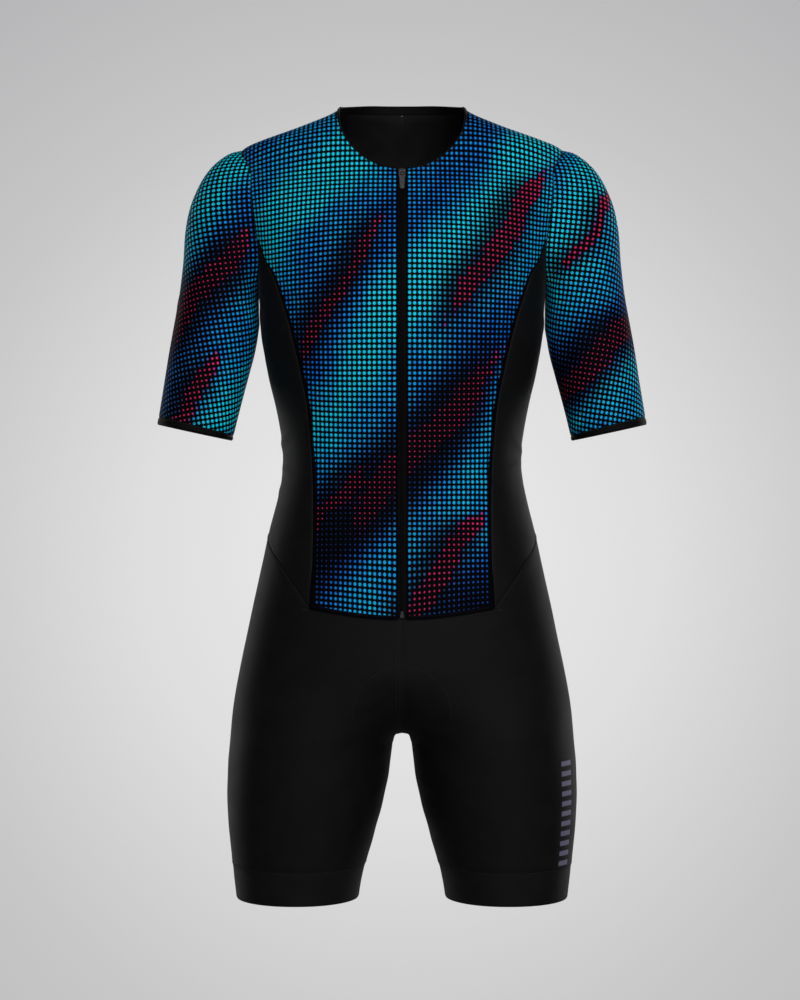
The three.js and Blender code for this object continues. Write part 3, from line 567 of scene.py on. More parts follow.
@dataclass(frozen=True)
class Crease:
    """A soft fold pressed into the cloth, along a bowed line in the suit's frame."""

    start: tuple[float, float, float]
    end: tuple[float, float, float]
    bow: tuple[float, float, float]
    width: float
    height: float

    def rise(self, points: Grid) -> Grid:
        """How far the crease moves each point out of the cloth, in millimetres.

        Args:
            points: A grid of points in the suit's frame.

        Returns:
            The height at each point.
        """
        a, b, bow = (np.array(p, float) for p in (self.start, self.end, self.bow))
        shares = np.linspace(0, 1, 9)[:, None]
        line = a + (b - a) * shares + bow * 4 * shares * (1 - shares)
        flat = points.reshape(-1, 3)
        near = np.linalg.norm(flat - (a + b) / 2, axis=1) < (
            np.linalg.norm(b - a) / 2 + np.linalg.norm(bow) + 4 * self.width)
        out = np.zeros(len(flat))
        p = flat[near]
        best = np.full(len(p), 1e9)
        place = np.zeros(len(p))
        for i in range(len(line) - 1):
            d = line[i + 1] - line[i]
            t = np.clip(((p - line[i]) @ d) / (d @ d), 0, 1)
            gap = np.linalg.norm(p - line[i] - t[:, None] * d, axis=1)
            closer = gap < best
            best = np.where(closer, gap, best)
            place = np.where(closer, (i + t) / (len(line) - 1), place)
        fade = np.sin(np.pi * np.clip(place, 0, 1)) ** 0.8
        ridge = np.exp(-(best / self.width) ** 2) - 0.5 * np.exp(-(best / (2.1 * self.width)) ** 2)
        out[near] = 2 * self.height * fade * ridge
        return out.reshape(points.shape[:2])


CREASES = [
    # waist, front, over the zip and beside it
    Crease((-92, -78, -396), (-18, -103, -412), (0, 0, -5), 6.5, 0.7),
    Crease((22, -104, -404), (96, -74, -384), (0, 0, -4), 7.0, 0.6),
    Crease((60, -93, -430), (108, -66, -414), (0, 0, 3), 6.0, 0.8),
    Crease((-104, -70, -372), (-52, -98, -381), (0, 0, -3), 6.0, 0.5),
    Crease((-60, -96, -446), (-12, -101, -452), (0, 0, 3), 7.0, 0.45),
    # chest, falling from the armholes
    Crease((-142, -66, -176), (-92, -101, -222), (3, 0, -6), 8.0, 0.9),
    Crease((150, -56, -168), (104, -96, -208), (-4, 0, -5), 8.5, 0.8),
    Crease((-120, -88, -224), (-84, -106, -262), (2, 0, -4), 7.0, 0.5),
    Crease((132, -77, -206), (96, -102, -250), (-3, 0, -3), 7.5, 0.6),
    Crease((-30, -112, -300), (-70, -103, -318), (0, 0, 4), 9.0, 0.4),
    # side panels
    Crease((122, -58, -366), (134, 14, -384), (5, 0, -5), 6.0, 1.0),
    Crease((118, -64, -402), (136, 2, -394), (4, 0, 4), 5.5, 0.9),
    Crease((-124, -58, -360), (-134, 20, -376), (-5, 0, -4), 6.5, 0.9),
    Crease((-119, -66, -412), (-136, -4, -400), (-4, 0, 4), 5.0, 1.1),
    Crease((-134, -24, -430), (-130, 50, -418), (-6, 0, 3), 6.0, 0.7),
    Crease((140, -10, -300), (132, 56, -330), (4, 0, -3), 7.0, 0.6),
    Crease((150, -46, -220), (152, 20, -250), (3, 0, -5), 7.0, 0.8),
    Crease((-152, -40, -214), (-150, 24, -240), (-3, 0, -6), 7.5, 0.9),
    Crease((-146, -50, -262), (-143, 6, -286), (-3, 0, -3), 6.0, 0.5),
    # back: waist hollow, shoulder blades
    Crease((-96, 66, -382), (-20, 88, -398), (0, 5, -6), 8.0, 1.1),
    Crease((98, 64, -392), (26, 88, -406), (0, 5, -4), 7.5, 1.0),
    Crease((-70, 80, -428), (34, 90, -420), (0, 4, 5), 8.0, 0.8),
    Crease((62, 80, -356), (8, 92, -368), (0, 3, -4), 7.0, 0.6),
    Crease((-150, 62, -170), (-92, 98, -214), (0, 5, -6), 8.5, 1.0),
    Crease((148, 64, -176), (84, 101, -206), (0, 5, -7), 9.0, 0.9),
    Crease((-40, 108, -262), (-18, 104, -320), (4, 0, 0), 9.0, 0.4),
    # hips and seat
    Crease((-150, -40, -560), (-92, -90, -590), (0, -6, -5), 8.0, 0.7),
    Crease((148, -48, -548), (86, -94, -572), (0, -6, -4), 8.5, 0.6),
    Crease((-120, 82, -520), (-40, 112, -548), (0, 4, -6), 9.0, 0.8),
    Crease((128, 80, -512), (52, 112, -536), (0, 4, -5), 9.0, 0.7),
    Crease((-30, 112, -640), (-92, 108, -664), (0, 4, -5), 8.0, 1.1),
    Crease((26, 112, -648), (84, 110, -660), (0, 4, -6), 8.0, 1.0),
    Crease((-160, 60, -676), (-108, 104, -690), (0, 4, -4), 8.0, 0.6),
    # crotch and inner thighs
    Crease((-8, -92, -640), (-60, -98, -668), (0, -3, -3), 5.5, 0.9),
    Crease((10, -92, -652), (56, -98, -686), (0, -3, -5), 5.5, 0.8),
    Crease((-10, -76, -684), (-44, -92, -716), (0, -3, -2), 5.0, 0.8),
    Crease((11, -70, -690), (40, -90, -728), (0, -3, -2), 5.0, 0.9),
    Crease((-13, 40, -704), (-40, 88, -726), (0, 4, -3), 6.0, 0.9),
    Crease((13, 46, -702), (44, 90, -720), (0, 4, -4), 6.0, 0.8),
    Crease((-20, -20, -752), (-30, -62, -770), (-2, 0, 2), 6.0, 0.6),
    Crease((21, -10, -746), (34, -62, -758), (2, 0, 2), 6.0, 0.7),
    Crease((-150, -60, -770), (-96, -86, -784), (0, -4, -4), 9.0, 0.45),
    Crease((150, 60, -760), (92, 98, -786), (0, 4, -4), 9.0, 0.5),
    Crease((-104, 86, -812), (-160, 50, -800), (0, 4, 3), 8.0, 0.5),
    # sleeves: inner bend, cap and back of the arm
    Crease((166, -20, -262), (214, -49, -244), (0, -5, -5), 6.5, 1.1),
    Crease((172, -30, -290), (226, -46, -272), (0, -4, -5), 7.0, 0.9),
    Crease((186, -38, -326), (236, -40, -306), (0, -4, -4), 7.0, 0.6),
    Crease((-167, -18, -256), (-216, -49, -250), (0, -5, -5), 6.5, 1.0),
    Crease((-176, -34, -300), (-230, -45, -284), (0, -4, -4), 7.0, 0.8),
    Crease((-196, -42, -176), (-160, -30, -216), (0, -5, -3), 7.0, 1.0),
    Crease((194, -44, -170), (162, -30, -210), (0, -5, -4), 7.0, 1.1),
    Crease((190, 50, -180), (232, 44, -230), (0, 5, -3), 8.0, 0.9),
    Crease((-188, 50, -190), (-234, 42, -232), (0, 5, -4), 8.0, 1.0),
    Crease((-180, 38, -272), (-232, 40, -262), (0, 4, -4), 7.0, 0.8),
    Crease((182, 36, -286), (240, 36, -280), (0, 4, -5), 7.0, 0.7),
    Crease((-236, -30, -214), (-252, 14, -222), (-4, 0, 2), 7.5, 0.4),
]


def creased(points: Grid, normals: Grid) -> Grid:
    """Moves a grid along its normals by the listed creases and a slight unevenness.

    Args:
        points: The grid.
        normals: Its normals.

    Returns:
        The moved grid.
    """
    rise = sum(crease.rise(points) for crease in CREASES)
    x, y, z = (points[..., i] for i in range(3))
    uneven = (np.sin(x / 17.3 + z / 31.7 + 1.1) * np.sin(z / 23.9 - y / 19.1)
              + 0.6 * np.sin(x / 9.7 - z / 13.3 + y / 11.9))
    return points + normals * (rise + UNEVENNESS * uneven)[..., None]


def edge_distance(points: Grid, sides: Sequence[str]) -> Grid:
    """How far each point of a grid lies from the named edges, in millimetres along the cloth.

    Args:
        points: The grid.
        sides: Which edges count: first and last column, lower and upper row.

    Returns:
        The distance to the nearest of them.
    """
    across = np.linalg.norm(np.diff(points, axis=1), axis=-1)
    along = np.linalg.norm(np.diff(points, axis=0), axis=-1)
    col = np.concatenate([np.zeros((points.shape[0], 1)), np.cumsum(across, 1)], 1)
    row = np.concatenate([np.zeros((1, points.shape[1])), np.cumsum(along, 0)], 0)
    gaps = {"first": col, "last": col[:, -1:] - col, "lower": row, "upper": row[-1:] - row}
    return np.minimum.reduce([gaps[side] for side in sides])


def rolled(points: Grid, normals: Grid, distance: Grid, depth: float = 0.6,
           reach: float = 1.3) -> Grid:
    """Turns a panel's edges in towards its seams.

    Args:
        points: The grid.
        normals: Its normals.
        distance: How far each point is from a seam.
        depth: How deep the edge goes.
        reach: How wide the roll is.

    Returns:
        The moved grid.
    """
    return points - normals * (depth * np.exp(-(distance / reach) ** 2))[..., None]


class Sock:
    """A shader socket that takes part in Python expressions."""

    def __init__(self, tree: "Finish", socket: bpy.types.NodeSocket) -> None:
        """Wraps an output socket of a finish's tree."""
        self.tree = tree
        self.socket = socket

    def math(self, operation: str, *others: "Sock | float") -> "Sock":
        """A Math node with this socket first."""
        return self.tree.node("ShaderNodeMath", {"operation": operation},
                              dict(enumerate((self, *others))))

    def __add__(self, other: "Sock | float") -> "Sock":
        """This and other added."""
        return self.math("ADD", other)

    __radd__ = __add__

    def __sub__(self, other: "Sock | float") -> "Sock":
        """Other taken from this."""
        return self.math("SUBTRACT", other)

    def __rsub__(self, other: float) -> "Sock":
        """This taken from other."""
        return self.tree.node("ShaderNodeMath", {"operation": "SUBTRACT"}, {0: other, 1: self})

    def __mul__(self, other: "Sock | float") -> "Sock":
        """This times other."""
        return self.math("MULTIPLY", other)

    __rmul__ = __mul__

    def __truediv__(self, other: "Sock | float") -> "Sock":
        """This divided by other."""
        return self.math("DIVIDE", other)

    def step(self, low: float, high: float, start: float = 0.0, end: float = 1.0) -> "Sock":
        """Start below low and end above high, with a soft change between."""
        return self.tree.node(
            "ShaderNodeMapRange", {"interpolation_type": "SMOOTHSTEP"},
            {"Value": self, "From Min": low, "From Max": high, "To Min": start, "To Max": end})


class Finish:
    """A node material that is written as Python expressions."""

    def __init__(self, name: str) -> None:
        """Makes the material with its shader and output.

        Args:
            name: The material's name.
        """
        self.material = bpy.data.materials.new(name)
        self.material.use_nodes = True
        self.nodes = self.material.node_tree.nodes
        self.links = self.material.node_tree.links
        self.shader = next(n for n in self.nodes if n.type == "BSDF_PRINCIPLED")

    def node(self, kind: str, settings: dict | None = None, values: dict | None = None,
             output: int | str = 0) -> Sock:
        """Adds any node.

        Args:
            kind: The node's type.
            settings: Its own settings, such as a Math node's operation or a ramp's stops.
            values: The values or links of its sockets, by name or number.
            output: Which output is given back.

        Returns:
            The wrapped output.
        """
        made = self.nodes.new(kind)
        for key, value in (settings or {}).items():
            if key == "stops":
                self.set_stops(made.color_ramp, value)
            else:
                setattr(made, key, value)
        for key, value in (values or {}).items():
            if isinstance(value, Sock):
                self.links.new(value.socket, made.inputs[key])
            else:
                made.inputs[key].default_value = value
        return Sock(self, made.outputs[output])

    @staticmethod
    def set_stops(ramp: bpy.types.ColorRamp, stops: Sequence[tuple[float, Sequence]]) -> None:
        """Gives a ramp its stops, each a place and a colour.

        Args:
            ramp: The ramp.
            stops: Places and colours in order.
        """
        while len(ramp.elements) < len(stops):
            ramp.elements.new(0.5)
        for element, (place, colour) in zip(ramp.elements, stops):
            element.position = place
            element.color = (*colour, 1)

    def colours(self, share: Sock | float, a: Sock | Sequence, b: Sock | Sequence) -> Sock:
        """Mixes two colours by a share of the second."""
        wide = [v if isinstance(v, Sock) else (*v, 1) for v in (a, b)]
        return self.node("ShaderNodeMix", {"data_type": "RGBA"},
                         {0: share, 6: wide[0], 7: wide[1]}, 2)

    def parts(self, vector: Sock) -> list[Sock]:
        """The three parts of a vector.

        Args:
            vector: The vector.

        Returns:
            Its x, y and z.
        """
        made = self.nodes.new("ShaderNodeSeparateXYZ")
        self.links.new(vector.socket, made.inputs[0])
        return [Sock(self, out) for out in made.outputs]

    def vector(self, x: Sock | float, y: Sock | float, z: Sock | float = 0.0) -> Sock:
        """A vector of three parts."""
        return self.node("ShaderNodeCombineXYZ", None, {0: x, 1: y, 2: z})

    def attribute(self, name: str, output: str = "Fac") -> Sock:
        """A value that the piece's mesh carries."""
        return self.node("ShaderNodeAttribute", {"attribute_name": name}, None, output)

    def noise(self, vector: Sock, scale: float, detail: float = 2.0) -> Sock:
        """Soft noise from 0 to 1."""
        return self.node("ShaderNodeTexNoise", None,
                         {"Vector": vector, "Scale": scale, "Detail": detail})

    def set(self, **values: float | Sequence | Sock) -> None:
        """Sets or links the shader's sockets, named with underscores for spaces.

        Args:
            values: What each socket gets.
        """
        for key, value in values.items():
            socket = self.shader.inputs[key.replace("_", " ")]
            if isinstance(value, Sock):
                self.links.new(value.socket, socket)
            else:
                socket.default_value = value

    def bump(self, height: Sock, distance: float, strength: float) -> None:
        """Makes the surface rise and fall with a height."""
        self.set(Normal=self.node("ShaderNodeBump", None, {
            "Height": height, "Distance": distance, "Strength": strength}))

    def knit(self, uv: Sock, pitch: float) -> Sock:
        """The loops of a fine knit on a piece's own flat pattern.

        Args:
            uv: The flat pattern's place in metres.
            pitch: The distance between two loops.

        Returns:
            A height from about -1 to 1.
        """
        x, y, _ = self.parts(uv)
        turns = 2 * math.pi / pitch
        wale = (x * turns).math("SINE")
        loop = (y * (turns * 0.8) + wale * 1.3).math("SINE")
        return wale * 0.55 + loop * 0.45


@dataclass(frozen=True)
class PrintedKnit:
    """Near-black knit with a square grid of printed dots in cyan, blue and crimson."""

    pitch_x: float = 0.00535
    pitch_y: float = 0.0056
    ground: tuple[float, float, float] = (0.0007, 0.0008, 0.0019)
    violet: tuple[float, float, float] = (0.16, 0.045, 0.34)
    crimson: tuple[float, float, float] = (0.72, 0.02, 0.115)
    night: tuple[float, float, float] = (0.008, 0.014, 0.045)
    blues: tuple = ((0.0, (0.0005, 0.022, 0.16)), (0.3, (0.0005, 0.09, 0.46)),
                    (0.55, (0.0005, 0.2, 0.66)), (0.78, (0.0005, 0.38, 0.72)),
                    (1.0, (0.002, 0.6, 0.76)))
    small_dot: float = 0.205
    large_dot: float = 0.305
    dot_edge: float = 0.03
    dot_squash: float = 0.93
    border: float = 0.6
    loop_pitch: float = 0.0007
    relief: float = 0.00006

    def build(self) -> bpy.types.Material:
        """Makes the material.

        Returns:
            The material, which reads the piece's flat pattern and its print attributes.
        """
        f = Finish("printed_knit")
        uv = f.node("ShaderNodeUVMap", {"uv_map": "Cloth"})
        x, y, _ = f.parts(uv)
        x, y = x / self.pitch_x, y / self.pitch_y
        cell = f.vector(x.math("FLOOR"), y.math("FLOOR"))
        dx, dy = x.math("FRACT") - 0.5, (y.math("FRACT") - 0.5) * self.dot_squash
        away = (dx * dx + dy * dy).math("SQRT")
        own = f.node("ShaderNodeTexWhiteNoise", {"noise_dimensions": "2D"}, {"Vector": cell})
        patch = f.noise(cell, 0.11, 3.0)
        field_of = f.parts(f.attribute("print_tone", "Vector"))
        tone = (field_of[0] + (patch - 0.5) * 0.55 + (own - 0.5) * 0.14).math("MAXIMUM", 0.0)
        crimson = (field_of[1] * (0.55 + patch * 0.9) + (own - 0.5) * 0.3).step(0.28, 0.66)
        dim = (field_of[2] + (patch - 0.5) * 0.4).step(0.15, 0.95)
        radius = tone.step(0.0, 1.0, self.small_dot, self.large_dot) - dim * 0.06 - crimson * 0.02
        dot = (away - radius).step(-self.dot_edge, self.dot_edge, 1.0, 0.0)
        printed = dot * f.attribute("print_margin").step(0.0, self.border)
        ramp = f.node("ShaderNodeValToRGB", {"stops": self.blues}, {"Fac": tone})
        violet = f.colours(crimson.step(0.1, 0.5), ramp, self.violet)
        colour = f.colours(crimson.step(0.4, 0.9), violet, self.crimson)
        colour = f.colours(dim * (0.82 - crimson * 0.5), colour, self.night)
        f.set(Base_Color=f.colours(printed, self.ground, colour),
              Roughness=0.7 - printed * 0.1 + (patch - 0.5) * 0.08,
              Sheen_Weight=0.004, Sheen_Roughness=0.3, Specular_IOR_Level=0.025)
        f.bump(f.knit(uv, self.loop_pitch) + printed * 0.5, self.relief, 0.5)
        return f.material


@dataclass(frozen=True)
class BlackKnit:
    """Plain black stretch knit with a soft sheen towards its edges."""

    name: str = "black_knit"
    colour: tuple[float, float, float] = (0.0022, 0.0022, 0.0024)
    sheen: float = 0.035
    gloss: float = 0.09
    pitch: float = 0.0007
    relief: float = 0.00006
    lighter: float = 1.5
    cloud_scale: float = 38.0
    roughness: float = 0.56
    sheen_roughness: float = 0.25

    def build(self) -> bpy.types.Material:
        """Makes the material.

        Returns:
            The material, with knit loops and a slight cloudiness.
        """
        f = Finish(self.name)
        uv = f.node("ShaderNodeUVMap", {"uv_map": "Cloth"})
        cloud = f.noise(uv, self.cloud_scale, 4.0)
        light = tuple(c * self.lighter for c in self.colour)
        f.set(Base_Color=f.colours(cloud.step(0.3, 0.7), self.colour, light),
              Roughness=self.roughness + cloud * 0.16, Sheen_Weight=self.sheen,
              Sheen_Roughness=self.sheen_roughness, Specular_IOR_Level=self.gloss)
        f.bump(f.knit(uv, self.pitch), self.relief, 0.5)
        return f.material


@dataclass(frozen=True)
class ThighPrint:
    """Black knit with a column of plain lavender-grey bars down the outer thigh."""

    centre: float
    bottom: float
    bars: int = 11
    half_width: float = 0.0105
    pitch: float = 0.0112
    share: float = 0.5
    edge: float = 0.0003
    ink: tuple[float, float, float] = (0.115, 0.1, 0.165)

    def build(self) -> bpy.types.Material:
        """Makes the material.

        Returns:
            The knit with the bars printed on it.
        """
        base = BlackKnit(name="black_knit_with_bars")
        f = Finish(base.name)
        uv = f.node("ShaderNodeUVMap", {"uv_map": "Cloth"})
        x, y, _ = f.parts(uv)
        cloud = f.noise(uv, base.cloud_scale, 4.0)
        across = (x - self.centre).math("ABSOLUTE").step(
            self.half_width - self.edge, self.half_width, 1.0, 0.0)
        row = (y - self.bottom) / self.pitch
        inside = row.step(-0.01, 0.0) * row.step(self.bars, self.bars + 0.01, 1.0, 0.0)
        bar = row.math("FRACT").step(self.share - 0.03, self.share, 1.0, 0.0)
        ink = across * inside * bar
        light = tuple(c * base.lighter for c in base.colour)
        knit = f.colours(cloud.step(0.3, 0.7), base.colour, light)
        f.set(Base_Color=f.colours(ink, knit, self.ink),
              Roughness=base.roughness + cloud * 0.16 - ink * 0.12, Sheen_Weight=base.sheen,
              Sheen_Roughness=base.sheen_roughness, Specular_IOR_Level=base.gloss)
        f.bump(f.knit(uv, base.pitch) + ink * 1.5, base.relief, 0.5)
        return f.material


@dataclass(frozen=True)
class Metal:
    """Dark gunmetal coating of the slider, pull and end stop."""

    name: str = "zip_metal"
    colour: tuple[float, float, float] = (0.14, 0.138, 0.14)
    worn: float = 2.2
    scale: float = 900.0

    def build(self) -> bpy.types.Material:
        """Makes the material with fine wear in its coating.

        Returns:
            The material.
        """
        f = Finish(self.name)
        place = f.node("ShaderNodeTexCoord", None, None, "Object")
        wear = f.noise(place, self.scale, 3.0)
        f.set(Base_Color=f.colours(wear.step(0.45, 0.75), self.colour,
                                   tuple(c * self.worn for c in self.colour)),
              Metallic=0.9, Roughness=0.26 + wear * 0.2)
        f.bump(wear, 0.00003, 0.25)
        return f.material


@dataclass(frozen=True)
class Thread:
    """Matt polyester thread or woven tape."""

    name: str
    colour: tuple[float, float, float]
    scale: float = 2600.0
    gloss: float = 0.12
    lighter: float = 1.7

    def build(self) -> bpy.types.Material:
        """Makes the material with a fine twist.

        Returns:
            The material.
        """
        f = Finish(self.name)
        place = f.node("ShaderNodeTexCoord", None, None, "Object")
        twist = f.noise(place, self.scale, 1.0)
        light = tuple(c * self.lighter for c in self.colour)
        f.set(Base_Color=f.colours(twist, self.colour, light),
              Roughness=0.6 + twist * 0.2, Specular_IOR_Level=self.gloss)
        f.bump(twist, 0.00008, 0.4)
        return f.material


def placed(name: str, data: bpy.types.ID) -> bpy.types.Object:
    """Makes an object and puts it in the scene.

    Args:
        name: The object's name.
        data: Its mesh, curve, light or camera.

    Returns:
        The object.
    """
    made = bpy.data.objects.new(name, data)
    bpy.context.scene.collection.objects.link(made)
    return made


def shade(mesh: bpy.types.Mesh, smooth: bool = True) -> None:
    """Shades a mesh smoothly, or flat."""
    mesh.polygons.foreach_set("use_smooth", [smooth] * len(mesh.polygons))


def stand_in(node: str) -> None:
    """Hides the solid that a piece stands for."""
    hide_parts(node)


def cloth_object(name: str, points: Grid, flat: Grid, closed: bool,
                 values: dict[str, Grid] | None = None,
                 slit: int | None = None) -> bpy.types.Object:
    """Makes a piece of cloth from a fine grid that is bent onto its points.

    Args:
        name: The piece's name.
        points: The grid in millimetres.
        flat: Its flat pattern in metres.
        closed: True where columns that lie on each other are joined.
        values: Values that each point carries, one number or three.
        slit: The column whose faces are left out, or None.

    Returns:
        The object, with a flat pattern as its UV map.
    """
    rows, columns = points.shape[0] - 1, points.shape[1] - 1
    bm = bmesh.new()
    bmesh.ops.create_grid(bm, x_segments=columns, y_segments=rows, size=0.5)
    mesh = bpy.data.meshes.new(name)
    bm.to_mesh(mesh)
    bm.free()
    place = np.zeros(len(mesh.vertices) * 3)
    mesh.vertices.foreach_get("co", place)
    place = place.reshape(-1, 3)
    col = np.rint((place[:, 0] + 0.5) * columns).astype(int)
    row = np.rint((place[:, 1] + 0.5) * rows).astype(int)
    mesh.vertices.foreach_set("co", (points[row, col] * MM).ravel())
    corner = np.zeros(len(mesh.loops), int)
    mesh.loops.foreach_get("vertex_index", corner)
    mesh.uv_layers.new(name="Cloth").data.foreach_set("uv", flat[row, col][corner].ravel())
    for key, value in (values or {}).items():
        kind, word = ("FLOAT_VECTOR", "vector") if value.ndim == 3 else ("FLOAT", "value")
        mesh.attributes.new(key, kind, "POINT").data.foreach_set(word, value[row, col].ravel())
    if closed:
        bm = bmesh.new()
        bm.from_mesh(mesh)
        if slit is not None:
            bm.verts.ensure_lookup_table()
            beside = {int(i) for i in np.flatnonzero((col == slit) | (col == slit + 1))}
            bmesh.ops.delete(bm, geom=[f for f in bm.faces if all(
                v.index in beside for v in f.verts)], context="FACES_ONLY")
            bmesh.ops.delete(bm, geom=[e for e in bm.edges if e.is_wire], context="EDGES")
        bmesh.ops.remove_doubles(bm, verts=bm.verts, dist=JOIN_DISTANCE)
        bm.to_mesh(mesh)
        bm.free()
    shade(mesh)
    mesh.update()
    return placed(name, mesh)


def walled(piece: bpy.types.Object, thickness: float, outer: bpy.types.Material,
           inner: bpy.types.Material) -> None:
    """Gives a sheet its thickness, inwards, with one finish outside and one inside.

    Args:
        piece: The sheet.
        thickness: How thick it gets, in metres.
        outer: The finish outside.
        inner: The finish inside.
    """
    piece.data.materials.append(outer)
    piece.data.materials.append(inner)
    solid = piece.modifiers.new("thickness", "SOLIDIFY")
    solid.thickness = thickness
    solid.offset = -1
    solid.material_offset = 1
    solid.material_offset_rim = 1
    solid.use_even_offset = False


def area_of(points: Grid) -> float:
    """The area of a grid in square metres.

    Args:
        points: The grid in millimetres.

    Returns:
        Its area.
    """
    a, b = points[:-1, :-1], points[1:, 1:]
    c, d = points[1:, :-1], points[:-1, 1:]
    return float(np.linalg.norm(np.cross(b - a, c - d), axis=-1).sum() / 2) * MM * MM


def mirrored(points: Grid) -> Grid:
    """A grid on the other side of the middle plane, its faces still outwards."""
    return points[:, ::-1] * ACROSS


def on_side(points: Grid, side: Side) -> Grid:
    """A grid of the left, or its mirror image for the right."""
    return mirrored(points) if side is Side.RIGHT else points


@dataclass(frozen=True)
class Streak:
    """A crimson streak of the print, between two places seen from the front or the back."""

    start: tuple[float, float]
    end: tuple[float, float]
    width: float
    strength: float

    def weight(self, x: Grid, z: Grid, wider: float = 1.0) -> Grid:
        """How much of the streak lies at each place.

        Args:
            x: The places' distances from the middle plane.
            z: Their heights.
            wider: How many times as wide the streak is taken.

        Returns:
            A share from 0 to 1 for each place.
        """
        a, b = np.array(self.start, float), np.array(self.end, float)
        d = b - a
        length = np.hypot(*d)
        t = ((x - a[0]) * d[0] + (z - a[1]) * d[1]) / length ** 2
        off = ((x - a[0]) * d[1] - (z - a[1]) * d[0]) / length
        off = off + 6 * np.sin(t * 5.3 + self.start[0]) + 3 * np.sin(t * 13.1 + self.end[1])
        ends = smoothstep(t, -0.1, 0.5) * (1 - smoothstep(t, 0.5, 1.1)) * 1.5
        width = self.width * wider * (0.65 + 0.5 * np.sin(np.pi * np.clip(t, 0, 1)))
        return self.strength * np.minimum(ends, 1) * np.exp(-np.abs(off / width) ** 1.6)


@dataclass(frozen=True)
class PrintLayout:
    """Where the print is bright, dim or crimson on one part of the suit."""

    streaks: tuple[Streak, ...]
    wave: float = 176.0
    shift: float = 0.0

    def tones(self, points: Grid) -> Grid:
        """The print's brightness, crimson and dimness at each point of a grid.

        Args:
            points: The grid.

        Returns:
            Three shares from 0 to 1 a point.
        """
        x, z = points[..., 0], points[..., 2]
        across = (1.25 * x - z) / 1.6 + 9 * np.sin(z / 47 + x / 83)
        swathe = 0.5 + 0.5 * np.cos(2 * np.pi * (across + self.shift) / self.wave)
        fine = 0.5 + 0.5 * np.cos(2 * np.pi * (across * 2.3 + 31) / self.wave)
        crimson = sum(s.weight(x, z) for s in self.streaks)
        shade = sum(s.weight(x + 11, z + 8, 2.3) for s in self.streaks)
        low = smoothstep(-z, 300, 520)
        high = smoothstep(z, -340, -200)
        tone = np.clip(0.26 + 0.56 * swathe + 0.16 * fine + 0.16 * high - 0.25 * crimson
                       - 0.12 * low, 0, 1)
        dim = np.clip(1.05 * shade + 0.42 * (1 - swathe) ** 2 * (0.35 + low), 0, 1)
        return np.stack([tone, np.clip(crimson, 0, 1), dim], -1)


FRONT_PRINT = PrintLayout((
    Streak((186, -52), (24, -262), 12, 1.0), Streak((10, -96), (-142, -318), 9, 0.8),
    Streak((120, -250), (-78, -506), 15, 1.05), Streak((-30, -380), (-112, -500), 9, 0.8),
    Streak((110, -432), (-20, -590), 12, 1.0),
), shift=20.0)
BACK_PRINT = PrintLayout((
    Streak((166, -40), (-60, -292), 14, 1.0), Streak((-40, -56), (-160, -216), 10, 0.8),
    Streak((122, -222), (-66, -470), 14, 1.0), Streak((-20, -300), (-120, -430), 10, 0.85),
), shift=70.0)
SLEEVE_PRINT = PrintLayout((
    Streak((284, -200), (160, -352), 13, 1.0), Streak((250, -70), (160, -206), 9, 0.7),
    Streak((-156, -116), (-272, -286), 13, 1.0), Streak((-190, -262), (-280, -384), 10, 0.9),
), shift=120.0)


@dataclass
class Materials:
    """Every finish of the suit, made once."""

    dots: bpy.types.Material = field(default_factory=lambda: PrintedKnit().build())
    black: bpy.types.Material = field(default_factory=lambda: BlackKnit().build())
    inside: bpy.types.Material = field(default_factory=lambda: BlackKnit(
        name="knit_inside", colour=(0.0048, 0.0048, 0.005), sheen=0.02).build())
    band: bpy.types.Material = field(default_factory=lambda: BlackKnit(
        name="gripper_knit", colour=(0.0026, 0.0026, 0.003), sheen=0.04, pitch=0.0011,
        relief=0.00012).build())
    binding: bpy.types.Material = field(default_factory=lambda: BlackKnit(
        name="binding", colour=(0.0016, 0.0016, 0.0018), sheen=0.02, gloss=0.06,
        pitch=0.0009, relief=0.0001).build())
    metal: bpy.types.Material = field(default_factory=lambda: Metal().build())
    slider_coat: bpy.types.Material = field(default_factory=lambda: Metal(
        "slider_coat", (0.075, 0.074, 0.075)).build())
    stop_coat: bpy.types.Material = field(default_factory=lambda: Metal(
        "stop_coat", (0.02, 0.02, 0.02)).build())
    thread: bpy.types.Material = field(default_factory=lambda: Thread(
        "thread", (0.006, 0.006, 0.0065)).build())
    pale_thread: bpy.types.Material = field(default_factory=lambda: Thread(
        "pad_thread", (0.013, 0.013, 0.014)).build())
    tape: bpy.types.Material = field(default_factory=lambda: Thread(
        "zip_tape", (0.0011, 0.0011, 0.0012), 1800.0, 0.05).build())
    coil: bpy.types.Material = field(default_factory=lambda: Thread(
        "zip_coil", (0.0019, 0.0018, 0.0018), 1200.0, 0.05).build())


